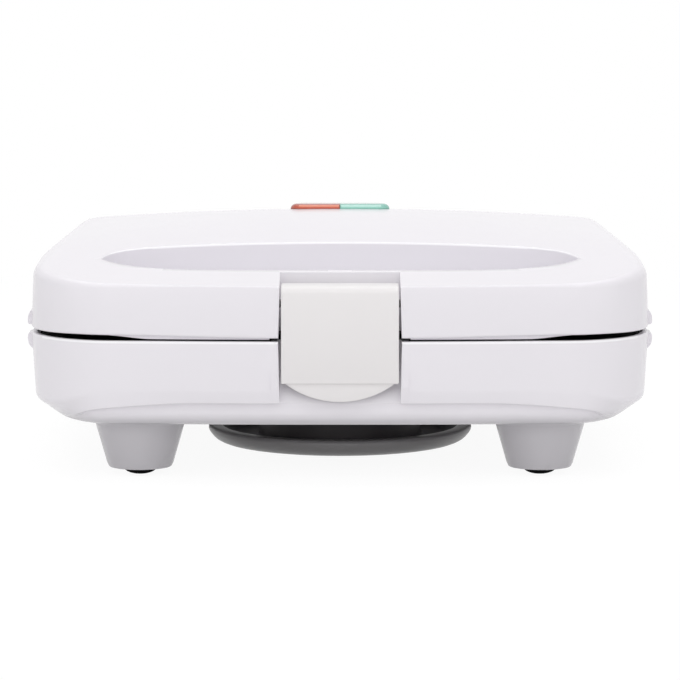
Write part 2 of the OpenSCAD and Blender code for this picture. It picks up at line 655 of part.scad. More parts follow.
// Screw whose head bears at z = 0 and whose shank rises by grip
screw_grip = 8;
screw_gap = 0.05;
head_h = 1.6;
module screw(grip) {
    translate([0, 0, -head_h]) cylinder(h = head_h, r = screw_head_r, $fn = 32);
    translate([0, 0, -eps]) cylinder(h = grip + eps, r = screw_r, $fn = 32);
}
post_web = 3;
module base_screws() color(steel) in_frame() {
    at_points(post_places) translate([0, 0, post_joint_z - post_web]) screw(screw_grip + post_web - 0.5);
    at_points(strap_places) translate([0, 0, lower_tray_z - strap_t]) screw(screw_grip);
    translate([0, -bowl_forward, underside_z - bowl_top_t]) screw(bowl_boss_h + wall - 0.5);
}
module lid_screws() color(steel) in_frame() {
    at_points(lid_post_places) translate([0, 0, lid_deck_z]) screw(screw_grip + deck_t - 0.5);
    at_points(strap_places) translate([0, 0, upper_tray_top_z + strap_t])
        mirror([0, 0, 1]) screw(screw_grip);
}

// Disc thermostat with its two blades, pressed against the lower plate
sensor_h = tray_h - 0.6;
sensor_x = 28;
sensor_r = 7;
sensor_flange_t = 2;
blade_l = 7;
blade_w = 4.8;
blade_t = 0.8;
module thermostat() color([0.75, 0.72, 0.66]) in_frame() translate([sensor_x, plate_back, plate_under_z]) {
    translate([0, 0, -sensor_h]) cylinder(h = sensor_h - sensor_flange_t, r = sensor_r, $fn = 48);
    translate([0, 0, -sensor_flange_t - eps]) cylinder(h = sensor_flange_t, r = sensor_r + 1.2, $fn = 48);
    mirrored_x() translate([sensor_r - 2, -blade_w / 2, blade_t - sensor_h])
        cube([blade_l, blade_w, blade_t]);
}
// Fuse in a sleeve, held on the lower plate by a saddle
module thermal_fuse() color([0.85, 0.85, 0.8]) in_frame() translate([-sensor_x, plate_back, plate_under_z]) {
    pin_x(-11, 11, 0, -2.6, 2);
    difference() {
        translate([-4, -5, -5.2]) cube([8, 10, 5.2 - eps]);
        pin_x(-5, 5, 0, -2.6, 2 - eps);
    }
}
// Three-way block on the floor behind the plate
block_w = 32;
block_d = 9;
block_h = 14;
block_from_rear = 22.1;
module terminal_block() color([0.92, 0.91, 0.86]) in_frame()
    translate([0, body_d / 2 - block_from_rear, floor_z]) difference() {
        translate([0, 0, block_h / 2]) cube([block_w, block_d, block_h], center = true);
        for (x = [-1, 0, 1]) translate([x * block_w / 3, 0, block_h - 6]) cylinder(h = 7, r = 2.2, $fn = 24);
    }

// Cord storage spool: a cupped core with a dished flange below
bowl_top_t = 2.4;
bowl_wall = 2.6;
module cord_bowl() color([0.42, 0.42, 0.43]) in_frame() translate([0, -bowl_forward, 0]) difference() {
    r = bowl_r;
    c = bowl_core_r;
    z = bowl_bottom_z;
    rim = bowl_bottom_z + bowl_h;
    top = underside_z;
    rotate_extrude($fn = 96) polygon([
        [0, top], [c - 2, top], [c - 0.6, top - 0.6], [c, top - 2], [c + 0.6, z + 3.4], [c + 2, z + 2.4],
        [r - 10.5, z + 2.4], [r - 8.4, z + 2.9], [r - 6.8, z + 4], [r - 5.8, rim - 0.8],
        [r - 5.4, rim - 0.2], [r - 4.8, rim], [r - 1, rim], [r - 0.3, rim - 0.4], [r, rim - 1.2],
        [r - 0.5, rim - 2.6], [r - 1.8, z + 2.4], [r - 3.8, z + 1], [r - 6.2, z + 0.2], [r - 8, z],
        [c - bowl_wall + 1.4, z], [c - bowl_wall, z + 1.2],
        [c - bowl_wall - 1.2, top - bowl_top_t], [0, top - bowl_top_t]]);
    translate([0, 0, top - bowl_top_t - 1]) cylinder(h = bowl_top_t + 2, r = screw_r + seat_gap, $fn = 32);
}
module foot_pads() color(dark) in_frame() at_points(foot_places)
    cylinder(h = pad_proud + pad_seat, r = pad_r, $fn = 48);

// Bush in the rear wall that the supply cord would leave through
module cord_gland() color(dark) in_frame() translate([0, rear_y + rear_bow, gland_z]) rotate([-90, 0, 0])
    difference() {
        union() {
            translate([0, 0, -wall - 2]) cylinder(h = wall + 2.5, r = gland_r - seat_gap, $fn = 48);
            cylinder(h = 2, r = gland_r + 2, $fn = 48);
            translate([0, 0, 1]) cylinder(h = 6, r1 = gland_r, r2 = gland_r - 1.2, $fn = 48);
        }
        translate([0, 0, -12]) cylinder(h = 30, r = cord_hole_r, $fn = 48);
    }
module hinge_pins() color(steel) in_frame() mirrored_x()
    pin_x(hinge_x - hinge_half, hinge_x + hinge_half, hinge_y, hinge_z, hinge_pin_r);
// Nose on the pocket's back wall that the latch snaps over
catch_reach = 3.2;
catch_half_w = 13;
module catch() color(white) in_frame() along_x(-catch_half_w, catch_half_w) polygon([
    [pocket_back_y, catch_z - 3], [pocket_back_y, catch_z + 3.4],
    [pocket_back_y - catch_reach + 0.6, catch_z + 1.6], [pocket_back_y - catch_reach, catch_z + 0.8],
    [pocket_back_y - catch_reach, catch_z - 1]]);

// ---------- lid ----------
module knuckle() {
    x0 = hinge_x - knuckle_w / 2;
    pin_x(x0, x0 + knuckle_w, hinge_y, hinge_z, hinge_r - 0.2);
    along_x(x0, x0 + knuckle_w) polygon([[rear_y, lid_rim_z(half_w) + 1],
        [hinge_y - 4.4, lid_rim_z(half_w) + 1], [hinge_y, hinge_z], [hinge_y + 4.4, hinge_z + 3.6],
        [hinge_y - 2.6, parting_z + 9.4], [rear_y, rear_edge_z - 2.4]]);
}
lens_z = top_z(0, window_back);
lens_root_z = lens_z - wall - 3.9;
module window(grow, z0, z1) {
    translate([0, window_back, z0]) linear_extrude(z1 - z0)
        polygon(rounded_rect(window_w + 2 * grow, window_d + 2 * grow, window_d / 2 + grow - eps, 12));
}
// Tongue that closes most of the parting gap from within, along the front
tongue_half_w = 75;
module rim_tongue() {
    translate([0, 0, parting_z - 0.05]) linear_extrude(5) difference() {
        intersection() {
            polygon(plan(1.6));
            translate([-tongue_half_w, -body_d]) square([2 * tongue_half_w, body_d]);
        }
        polygon(plan(wall + 0.05));
    }
}
module lid_shell() color(white) in_frame() difference() {
    union() {
        rim_tongue();
        difference() {
            lid_outer();
            lid_inner();
        }
        recess_tub();
        notch_walls();
        for (p = lid_post_places) translate([p[0], p[1], lid_deck_z + deck_t]) cylinder(
            h = top_z(abs(p[0]) + post_r, p[1]) - 0.8 - lid_deck_z - deck_t, r = post_r, $fn = 32);
        mirrored_x() knuckle();
        mirrored_x() lug(lid_rim_z(half_w) + 0.8, lid_rim_z(half_w) + 6.8);
    }
    recess_cut();
    notch_cut();
    window(seat_gap, lens_z - 10, lens_z + 10);
    mirrored_x() pin_x(hinge_x - knuckle_w, hinge_x + knuckle_w, hinge_y, hinge_z,
        hinge_pin_r + pin_clearance);
    pin_x(-latch_pin_x - 0.1, latch_pin_x + 0.1, latch_pin_y, latch_pin_z, latch_pin_r + 0.02);
    at_points(lid_post_places) translate([0, 0, lid_deck_z])
        cylinder(h = screw_grip + deck_t + 0.2, r = screw_r + screw_gap, $fn = 32);
}
module lens(side, tint) {
    color(tint) in_frame() intersection() {
        window(0, lens_root_z, lens_z + lens_proud);
        translate([side > 0 ? 0.05 : -window_w, window_back - window_d, 0])
            cube([window_w - 0.05, window_d * 2, crest_z * 2]);
    }
}
module red_lens() lens(-1, [0.85, 0.30, 0.20]);
module green_lens() lens(1, [0.40, 0.80, 0.68]);
// Holder under the window: a trough with a seat for each lamp
holder_wall = 2;
holder_h = 7.8;
lamp_x = window_w / 4;
lamp_r = 2.6;
lamp_h = holder_h - 1 - holder_wall - 0.3;
lamp_tip_h = 1.4;
holder_z = lens_root_z + 1 - holder_h;
module lamp_holder() color(dark) in_frame() translate([0, window_back, holder_z]) difference() {
    linear_extrude(holder_h) polygon(rounded_rect(
        window_w + 2 * holder_wall + 2, window_d + 2 * holder_wall + 0.6, 3, 4));
    translate([0, 0, holder_wall]) linear_extrude(holder_h) polygon(rounded_rect(
        window_w + 2 * seat_gap, window_d + 2 * seat_gap, window_d / 2 + seat_gap - eps, 12));
    mirrored_x() translate([lamp_x, 0, -1]) cylinder(h = 4, r = 1.2, $fn = 24);
}
module lamps() color([0.95, 0.85, 0.75]) in_frame() translate([0, window_back, holder_z])
    mirrored_x() translate([lamp_x, 0, holder_wall]) {
        cylinder(h = lamp_h - lamp_tip_h, r = lamp_r, $fn = 32);
        translate([0, 0, lamp_h - lamp_tip_h - eps])
            cylinder(h = lamp_tip_h, r1 = lamp_r, r2 = 1.2, $fn = 32);
    }

// ---------- latch ----------
latch_pin_x = notch_half_w + notch_flare / 2 + 2;
module latch_pin() color(steel) in_frame()
    pin_x(-latch_pin_x, latch_pin_x, latch_pin_y, latch_pin_z, latch_pin_r);
lip_half_w = latch_w / 2 - 1.3;
lip_arc_r = (lip_half_w * lip_half_w + lip_h * lip_h) / (2 * lip_h);
module latch() color(warm_white) in_frame() difference() {
    y0 = latch_front_y;
    yb = latch_front_y + latch_t;
    zt = latch_top_z;
    zb = latch_bottom_z;
    union() {
        along_x(-latch_w / 2, latch_w / 2) polygon(concat(
            [[y0 + 0.5, zb], [y0, zb + 0.5]],
            arc([y0 + 3, zt - 3], 3, 180, 90, 6),
            arc([latch_pin_y + 1, zt - 3], 3, 90, 0, 6),
            arc([latch_pin_y, latch_pin_z], latch_barrel_r, 0, -100, 8),
            [[yb + 1.2, latch_pin_z - 4.6], [yb, latch_pin_z - 7], [yb, zb]]));
        // Grip lip, arched below and set back from the face
        intersection() {
            along_x(-latch_w / 2, latch_w / 2) polygon([[y0 + 1.4, zb + 1], [y0 + 1.7, zb - lip_h],
                [y0 + 3.2, zb - lip_h], [yb + 0.6, zb - 1], [yb, zb + 4], [y0 + 1.4, zb + 4]]);
            along_y(-body_d, 0) polygon(concat([[lip_half_w, zb + 4], [-lip_half_w, zb + 4]],
                [for (i = [0:16]) let (a = mix(-1, 1, i / 16) * asin(lip_half_w / lip_arc_r))
                    [lip_arc_r * sin(a), zb - lip_h + lip_arc_r * (1 - cos(a))]]));
        }
        // Hook rib that meets the nose on the base
        along_x(1 - catch_half_w, catch_half_w - 1) polygon([
            [yb - 0.5, catch_z - 1.6], [yb + hook_reach, catch_z - 0.8],
            [yb + hook_reach, catch_z + 0.6], [yb - 0.5, catch_z + 2.4]]);
    }
    pin_x(-latch_w, latch_w, latch_pin_y, latch_pin_z, latch_pin_r + pin_clearance);
}
hook_reach = pocket_back_y - catch_reach - 0.3 - latch_front_y - latch_t;

base_shell();
base_liner();
lower_plate();
lower_element();
lower_reflector();
lower_strap();
thermostat();
thermal_fuse();
terminal_block();
cord_bowl();
foot_pads();
base_screws();
cord_gland();
hinge_pins();
catch();
lid_shell();
lid_liner();
upper_plate();
upper_element();
upper_reflector();
upper_strap();
red_lens();
green_lens();
lamp_holder();
lamps();
lid_screws();
latch_pin();
latch();
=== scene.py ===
import math

import bmesh
import bpy
import numpy as np
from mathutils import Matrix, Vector


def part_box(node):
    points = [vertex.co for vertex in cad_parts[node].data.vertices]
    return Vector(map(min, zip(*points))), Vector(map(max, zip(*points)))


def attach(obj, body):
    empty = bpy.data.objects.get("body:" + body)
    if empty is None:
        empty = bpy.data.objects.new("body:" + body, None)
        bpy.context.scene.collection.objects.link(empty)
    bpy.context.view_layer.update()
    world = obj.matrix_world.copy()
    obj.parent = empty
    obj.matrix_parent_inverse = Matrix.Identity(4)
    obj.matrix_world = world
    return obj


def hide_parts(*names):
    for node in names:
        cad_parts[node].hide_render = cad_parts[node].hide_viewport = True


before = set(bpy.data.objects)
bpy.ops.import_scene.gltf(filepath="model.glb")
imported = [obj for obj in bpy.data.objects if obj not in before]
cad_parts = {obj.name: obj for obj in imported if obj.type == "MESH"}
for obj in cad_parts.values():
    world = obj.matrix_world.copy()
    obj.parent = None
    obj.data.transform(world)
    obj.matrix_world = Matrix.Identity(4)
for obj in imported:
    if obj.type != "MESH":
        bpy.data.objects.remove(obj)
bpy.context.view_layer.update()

# ---------------------------------------------------------------- studio
# A white sweep lit by soft boxes, seen through a long lens from a little above the worktop.
# Lengths of the toaster are written in millimetres; MM turns them into the scene's metres.
MM = 0.001
scene = bpy.context.scene
scene.view_settings.view_transform = "Standard"

eye_distance = 1800 * MM
eye_rise = math.radians(6.8)
aim_drop = math.radians(0.229)
aimed_at = Vector((0, -6.6 * MM, 49.0 * MM))
lens_px = 4549
photo_px = 680

eye = aimed_at + eye_distance * Vector((0, -math.cos(eye_rise), math.sin(eye_rise)))
camera = bpy.data.objects.new("camera", bpy.data.cameras.new("camera"))
camera.data.sensor_width = 36
camera.data.lens = 36 * lens_px / photo_px
camera.data.clip_end = 20
camera.location = eye
camera.rotation_euler = (math.pi / 2 - eye_rise - aim_drop, 0, 0)
scene.collection.objects.link(camera)
scene.camera = camera


def new_material(name):
    """A material with its node tree and its shader."""
    material = bpy.data.materials.new(name)
    material.use_nodes = True
    return material, material.node_tree, material.node_tree.nodes["Principled BSDF"]


def feed(tree, node, sockets):
    """Gives a node's inputs their values; another node's output is linked in instead."""
    for key, value in sockets.items():
        if isinstance(value, bpy.types.NodeSocket):
            tree.links.new(value, node.inputs[key])
        else:
            node.inputs[key].default_value = value


def add_node(tree, kind, sockets=None, **settings):
    """Adds a node, sets its attributes and feeds its inputs."""
    made = tree.nodes.new(kind)
    for key, value in settings.items():
        setattr(made, key, value)
    feed(tree, made, sockets or {})
    return made


def worked_out(tree, operation, *values):
    """The result of a Math node."""
    return add_node(tree, "ShaderNodeMath", dict(enumerate(values)), operation=operation).outputs[0]


def in_range(tree, value, low, high, source=(0.0, 1.0), **settings):
    """Maps a value from its source range to the range from low to high."""
    return add_node(tree, "ShaderNodeMapRange", {
        "Value": value, "From Min": source[0], "From Max": source[1], "To Min": low, "To Max": high},
        **settings).outputs["Result"]


def straight_look(tree):
    """1 for a ray from the camera, off a polished face or through a clear one, and 0 for any other."""
    path = add_node(tree, "ShaderNodeLightPath").outputs
    polished = worked_out(tree, "MAXIMUM", path["Is Camera Ray"], path["Is Glossy Ray"])
    return worked_out(tree, "MAXIMUM", polished, path["Is Transmission Ray"])


plain_white = (1, 1, 1, 1)
ambient_level = 0.56
world = bpy.data.worlds.new("studio")
world.use_nodes = True
scene.world = world
feed(world.node_tree, world.node_tree.nodes["Background"], {
    "Color": plain_white,
    "Strength": in_range(world.node_tree, straight_look(world.node_tree), ambient_level, 1.0)})

floor_mesh = bpy.data.meshes.new("studio_floor")
reach = 6.0
floor_mesh.from_pydata([(-reach, -reach, 0), (reach, -reach, 0), (reach, reach, 0), (-reach, reach, 0)],
                       [], [(0, 1, 2, 3)])
studio_floor = bpy.data.objects.new("studio_floor", floor_mesh)
scene.collection.objects.link(studio_floor)
# Near the toaster the paper takes its shadow; from white_from outwards it is seen as plain white.
shadow_reach, white_from = 0.2, 0.62
paper, paper_tree, unused_shader = new_material("white_paper")
paper_tree.nodes.remove(unused_shader)
paper_place = add_node(paper_tree, "ShaderNodeTexCoord").outputs["Object"]
paper_away = add_node(paper_tree, "ShaderNodeVectorMath", {0: paper_place}, operation="LENGTH")
paper_fade = in_range(paper_tree, paper_away.outputs["Value"], 0.0, 1.0, (shadow_reach, white_from),
                      interpolation_type="SMOOTHSTEP")
paper_body = add_node(paper_tree, "ShaderNodeBsdfDiffuse", {"Color": (0.8, 0.8, 0.8, 1)})
paper_face = add_node(paper_tree, "ShaderNodeBsdfDiffuse", {"Color": (0.1, 0.1, 0.1, 1)})
paper_glow = add_node(paper_tree, "ShaderNodeEmission", {"Color": plain_white, "Strength": 0.93})
paper_white = add_node(paper_tree, "ShaderNodeEmission", {"Color": plain_white, "Strength": 1.0})
paper_near = add_node(paper_tree, "ShaderNodeAddShader", {0: paper_face.outputs[0], 1: paper_glow.outputs[0]})
paper_seen = add_node(paper_tree, "ShaderNodeMixShader", {
    0: paper_fade, 1: paper_near.outputs[0], 2: paper_white.outputs[0]})
paper_mix = add_node(paper_tree, "ShaderNodeMixShader", {
    0: straight_look(paper_tree), 1: paper_body.outputs[0], 2: paper_seen.outputs[0]})
feed(paper_tree, paper_tree.nodes["Material Output"], {"Surface": paper_mix.outputs[0]})
floor_mesh.materials.append(paper)

lit_point = Vector((0, 0, 0.05))


def soft_box(name, place, width, height, watts):
    """A rectangular lamp that faces the toaster."""
    lamp = bpy.data.lights.new(name, "AREA")
    lamp.shape = "RECTANGLE"
    lamp.size, lamp.size_y, lamp.energy = width, height, watts
    box = bpy.data.objects.new(name, lamp)
    box.location = place
    box.rotation_euler = (lit_point - Vector(place)).to_track_quat("-Z", "Y").to_euler()
    scene.collection.objects.link(box)


soft_box("overhead_box", (0, 0.2, 1.5), 1.8, 1.4, 8.5)
soft_box("edge_strip", (0, -1.3, 1.5), 2.4, 0.26, 4.5)
soft_box("front_box", (0, -2.6, 1.0), 3.0, 1.8, 14)
soft_box("left_box", (-2.0, -1.2, 0.5), 1.4, 1.2, 3.8)
soft_box("right_box", (2.0, -1.2, 0.5), 1.4, 1.2, 3.8)

# ---------------------------------------------------------------- lid housing
# The upper housing is one injection moulding in glossy white plastic, domed to a flat crest.
# It carries the finger recess, the notch that the clip hangs in, two side lugs and the knuckles.
half_w = 117.0
front_y, rear_y = 103.5, 107.0
front_bow, rear_bow = 6.5, 3.0
front_corner_r, rear_corner_r = 31.0, 27.0
front_middle = front_y + front_bow
rear_middle = rear_y + rear_bow
wall = 2.6
parting_z = 55.1
hinge_barrel_r = 6.5
hinge_y = rear_middle + 0.6 + hinge_barrel_r
hinge_z = parting_z + 0.4
# The shapes are drawn about the middle of the body; shift_y carries them to the frame's origin.
hinge_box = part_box("hinge_pins")
shift_y = (hinge_box[0][1] + hinge_box[1][1]) / 2 / MM - hinge_y


def mix(a, b, t):
    """The value a share t of the way from a to b."""
    return a + (b - a) * t


def ease(a, b, v):
    """Goes smoothly from 0 to 1 while v goes from a to b."""
    t = np.clip((v - a) / (b - a), 0, 1)
    return t * t * (3 - 2 * t)


def soft_min(a, b, k):
    """The lower of two heights, rolled over where they come within k of each other."""
    h = np.clip(0.5 + 0.5 * (b - a) / k, 0, 1)
    return mix(b, a, h) - k * h * (1 - h)


def corner_arc(cx, cy, r, start, steps=22):
    """A quarter of a circle, anticlockwise from its start in degrees."""
    a = np.radians(np.linspace(start, start + 90, steps + 1))
    return np.c_[cx + r * np.cos(a), cy + r * np.sin(a)]


def outline(e):
    """The housings' plan outline, anticlockwise, drawn in by e from the rims' outline."""
    fx, fy, fr = half_w - front_corner_r, front_corner_r - front_y, front_corner_r - e
    rx, ry, rr = half_w - rear_corner_r, rear_y - rear_corner_r, rear_corner_r - e
    side_steps, rear_steps, front_steps = 24, 32, 72

    def run(p, q, steps):
        return np.linspace(p, q, steps + 1)[1:-1]
    ring = np.concatenate([
        corner_arc(fx, fy, fr, -90), run((half_w - e, fy), (half_w - e, ry), side_steps),
        corner_arc(rx, ry, rr, 0), run((rx, rear_y - e), (-rx, rear_y - e), rear_steps),
        corner_arc(-rx, ry, rr, 90), run((e - half_w, ry), (e - half_w, fy), side_steps),
        corner_arc(-fx, fy, fr, 180), run((-fx, e - front_y), (fx, e - front_y), front_steps)])
    bow = np.where(ring[:, 1] < 0, front_bow / front_y, rear_bow / rear_y)
    ring[:, 1] *= 1 + bow * (1 - (ring[:, 0] / half_w) ** 2)
    return ring


front_edge_z, shoulder_z, rear_edge_z, crest_z = 74.9, 80.3, 69.0, 91.9
front_slope, rear_slope, shoulder_slope = (math.tan(math.radians(a)) for a in (9.6, 16.8, 40.5))
side_fall, crown, lid_draft = 5.5, 5.3, 0.8


def top_z(x, y):
    """Height of the lid's skin: front, rear and side slopes that roll into the crowned crest."""
    front = front_edge_z + (y + front_middle) * front_slope
    rear = rear_edge_z + (rear_middle - y) * rear_slope
    widest_y = front_y - front_corner_r
    edge = shoulder_z - side_fall * (y + widest_y) / 100
    side = edge + (half_w - lid_draft - abs(x)) * shoulder_slope
    top = crest_z - crown * (x / 100) ** 2
    return soft_min(soft_min(front, rear, 6), soft_min(side, top, 2.2), 5)


def lid_rim_z(x):
    """Height of the lid's rim: the parting gap widens outwards and narrows again at the corners."""
    x = abs(x)
    return parting_z + 0.6 + 0.9 * (ease(25, 85, x) - 0.6 * ease(96, half_w, x))


def on_skin(ring, drop=0.0):
    """Lays a flat ring on the lid's skin, or lower by drop."""
    return np.c_[ring, top_z(ring[:, 0], ring[:, 1]) - drop]


def at_level(ring, z):
    """Gives a flat ring one height."""
    return np.c_[ring, np.full(len(ring), z)]


def closed_mesh(name, rings):
    """Skins rings of equal length, given from one pole to the other, and closes both ends."""
    n = len(rings[0])
    points = np.concatenate([*rings, [rings[0].mean(0)], [rings[-1].mean(0)]])
    faces = []
    for j in range(len(rings) - 1):
        for i in range(n):
            k = (i + 1) % n
            faces.append((j * n + i, j * n + k, (j + 1) * n + k, (j + 1) * n + i))
    low, high, last = len(points) - 2, len(points) - 1, (len(rings) - 1) * n
    for i in range(n):
        k = (i + 1) % n
        faces.append((low, k, i))
        faces.append((last + i, last + k, high))
    return mesh_piece(name, points, faces)


def mesh_piece(name, points, faces):
    """Makes an object from body points in millimetres, with its faces turned outwards."""
    points = np.asarray(points, float) + (0, shift_y, 0)
    mesh = bpy.data.meshes.new(name)
    mesh.from_pydata((points * MM).tolist(), [], faces)
    edit = bmesh.new()
    edit.from_mesh(mesh)
    bmesh.ops.remove_doubles(edit, verts=edit.verts, dist=0.002 * MM)
    bmesh.ops.recalc_face_normals(edit, faces=edit.faces)
    if edit.calc_volume(signed=True) < 0:
        bmesh.ops.reverse_faces(edit, faces=edit.faces)
    edit.to_mesh(mesh)
    edit.free()
    piece = bpy.data.objects.new(name, mesh)
    scene.collection.objects.link(piece)
    return piece


def boolean(piece, tool, operation="DIFFERENCE"):
    """Cuts a tool out of a piece, or joins it on, and throws the tool away."""
    cut = piece.modifiers.new("cut", "BOOLEAN")
    cut.operation, cut.solver, cut.object = operation, "EXACT", tool
    evaluated = piece.evaluated_get(bpy.context.evaluated_depsgraph_get())
    result = bpy.data.meshes.new_from_object(evaluated)
    piece.modifiers.remove(cut)
    old = piece.data
    piece.data = result
    bpy.data.meshes.remove(old)
    bpy.data.objects.remove(tool)


def merge(name, pieces):
    """Puts several meshes into one object, each keeping its own faces."""
    edit = bmesh.new()
    for piece in pieces:
        edit.from_mesh(piece.data)
        bpy.data.objects.remove(piece)
    mesh = bpy.data.meshes.new(name)
    edit.to_mesh(mesh)
    edit.free()
    joined = bpy.data.objects.new(name, mesh)
    scene.collection.objects.link(joined)
    return joined


def finish_piece(piece, material, body, slot, *nodes, smooth=32):
    """Smooths the shading up to an angle, gives the material, hangs the piece on its body and hides the CAD
    pieces it replaces.
    """
    for polygon in piece.data.polygons:
        polygon.use_smooth = True
    piece.data.set_sharp_from_angle(angle=math.radians(smooth))
    piece.data.materials.clear()
    piece.data.materials.append(material)
    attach(piece, body)
    if nodes:
        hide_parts(*nodes)


def extrude_profile(name, profile, axis, low, high):
    """Extrudes a closed profile along x or y; the profile is (y, z) or (x, z)."""
    flat = np.asarray(profile, float)
    ends = []
    for at in (low, high):
        level_at = np.full(len(flat), float(at))
        ends.append(np.c_[level_at, flat] if axis == "x" else np.c_[flat[:, 0], level_at, flat[:, 1]])
    n = len(flat)
    faces = [tuple(range(n)), tuple(range(n, 2 * n))]
    faces += [(i, (i + 1) % n, n + (i + 1) % n, n + i) for i in range(n)]
    return mesh_piece(name, np.concatenate(ends), faces)


def swung_ring(r, h, axis, steps):
    """One ring of a turned form, of radius r, at the height h along the axis."""
    a = np.linspace(0, 2 * math.pi, steps, endpoint=False)
    along, out, over = np.full(steps, float(h)), r * np.cos(a), r * np.sin(a)
    return np.c_[{"x": (along, out, over), "y": (over, along, out), "z": (out, over, along)}[axis]]


def turned(name, profile, place, steps=72, axis="z"):
    """Turns a profile of (radius, height) about an upright or lying axis through a place."""
    return closed_mesh(name, [swung_ring(r, h, axis, steps) + place for r, h in profile])


def edge_radius(x):
    """The edge of the lid's top is crisp in the middle and soft at the corners."""
    return mix(0.6, 3.8, (x / half_w) ** 4)


def lid_edge_ring(angle):
    """One step of the rounded edge between the lid's wall and its top."""
    rim = outline(0)
    r = edge_radius(rim[:, 0])
    insets = np.linspace(0, 8, 41)
    stack = np.array([outline(e) for e in insets])
    at = (lid_draft + r * (1 - math.cos(angle))) / insets[1]
    low = np.floor(at).astype(int)
    index = np.arange(len(rim))
    ring = mix(stack[low, index], stack[low + 1, index], (at - low)[:, None])
    return on_skin(ring, r * (1 - math.sin(angle)))


def shell_rings_of_lid():
    """Rings over the top, down the wall, round the rim and back under the top."""
    core = outline(16)
    shrinks = (0.03, 0.08, 0.14, 0.2, 0.27, 0.34, 0.41, 0.48, 0.55, 0.61, 0.67, 0.73, 0.79, 0.84, 0.89, 0.93,
               0.97)
    outer = [on_skin(core * s) for s in shrinks]
    outer += [on_skin(outline(e)) for e in (16, 14, 12, 10, 8.5, 7)]
    outer += [lid_edge_ring(a) for a in np.radians(np.linspace(90, 0, 10))]
    lip = ((0.02, 1.1), (0.1, 0.7), (0.3, 0.35), (0.6, 0.1), (1, 0), (wall - 0.8, 0), (wall - 0.3, 0.2),
           (wall, 0.7))
    rim = [np.c_[outline(e), lid_rim_z(outline(e)[:, 0]) + up] for e, up in lip]
    inner_e = lid_draft + wall
    inner = [on_skin(outline(inner_e + e), wall + down) for e, down in ((0, 6), (1.6, 2.2), (5, 0))]
    inner += [on_skin(core * s, wall) for s in (1, *reversed(shrinks[::3]))]
    return outer + rim + inner


lid_housing = closed_mesh("lid_housing", shell_rings_of_lid())

recess_w, recess_front_d, recess_rear_d = 181.6, 16.1, 22.7
recess_y = 40.0 - front_middle
recess_floor_z = parting_z + 9.4


def recess_reach(t, grow=0.0):
    """How far the recess reaches in front of and behind its tips, t being 1 at a tip."""
    front = (recess_front_d + grow) * (1 - t ** 6.5) ** 0.9
    rear = (recess_rear_d + grow) * (1 - 0.5 * t * t) * (1 - t ** 16) ** 0.8
    return front, rear


def recess_outline(grow):
    """Outline of the finger recess: flat in front, arched behind, running out to a tip at each side."""
    a = np.radians(np.linspace(0, 360, 160, endpoint=False))
    reach_x = recess_w / 2 + grow
    x = reach_x * np.sign(np.cos(a)) * abs(np.cos(a)) ** 0.6
    front, rear = recess_reach(np.clip(abs(x) / reach_x, 0, 1), grow)
    return np.c_[x, recess_y + np.where(np.sin(a) > 0, rear, -front)]


def recess_tool():
    """The recess with its rounded floor and a rolled lip that follows the lid's skin."""
    floor_curve = ((-9, 0), (-4.5, 0), (-3.4, 0.3), (-2.6, 0.9), (-2.0, 1.9), (-1.6, 3))
    rings = [at_level(recess_outline(grow), recess_floor_z + up) for grow, up in floor_curve]
    lip_r = 0.7
    for step in np.radians((0, 18, 36, 54, 70)):
        ring = recess_outline(lip_r * (1 - math.cos(step)) - 0.2)
        rings.append(on_skin(ring, lip_r * (1 - math.sin(step))))
    mouth = recess_outline(lip_r + 0.5)
    return closed_mesh("recess_tool", rings + [on_skin(mouth, -0.3), at_level(mouth, crest_z + 6)])


def recess_tub():
    """The wall that lines the recess within the lid."""
    return closed_mesh("recess_tub", [
        at_level(recess_outline(-2), recess_floor_z - wall),
        at_level(recess_outline(0.6), recess_floor_z - wall / 3),
        on_skin(recess_outline(wall - 0.3), wall / 2)])


latch_w = 43.8
notch_half = latch_w / 2 + 0.16
notch_flare = 1.0
notch_back_y = 21.4 - front_middle


def both_sides(right, y):
    """Closes a right-hand profile with its mirror image, at one depth."""
    return np.array([(x, y, z) for x, z in right + [(-x, z) for x, z in reversed(right)]])


def notch_tool():
    """The clip's notch, open to the front and above, with rolled edges all round its mouth."""
    low_z, lip_r = parting_z - 6, 0.36

    def section(y, grow, bottom=low_z):
        top = top_z(0.0, np.clip(y, -front_middle + 0.8, notch_back_y))
        rows = ((low_z, 0.0), (parting_z + 4, 0.0), (top - lip_r, 0.0), (top - lip_r * 0.5, 0.13 * lip_r),
                (top - lip_r * 0.13, 0.5 * lip_r), (top, lip_r), (crest_z, lip_r + 1.0))
        right = []
        for step, (z, roll) in enumerate(rows):
            z = max(z, bottom + 0.02 * step)
            half = notch_half + notch_flare * np.clip((crest_z - z) / (crest_z - low_z), 0, 1)
            right.append((half + roll + grow, z))
        return both_sides(right, y)
    mouth = -front_middle + 0.35
    rings = [section(y, grow) for y, grow in (
        (-front_middle - 12, lip_r + 6), (mouth - 0.25, lip_r + 0.3), (mouth, lip_r * 0.62),
        (mouth + 0.2, lip_r * 0.25), (mouth + lip_r, 0.04), (mouth + 1.2, 0))]
    rings += [section(y, 0) for y in np.linspace(-front_middle + 4, notch_back_y, 8)]
    back_top = top_z(0.0, notch_back_y)
    rings += [section(notch_back_y + back * lip_r, 0, back_top - drop * lip_r)
              for drop, back in ((1, 0.02), (0.5, 0.13), (0.2, 0.4), (0.06, 0.66), (-0.6, 1.4))]
    return closed_mesh("notch_tool", rings)


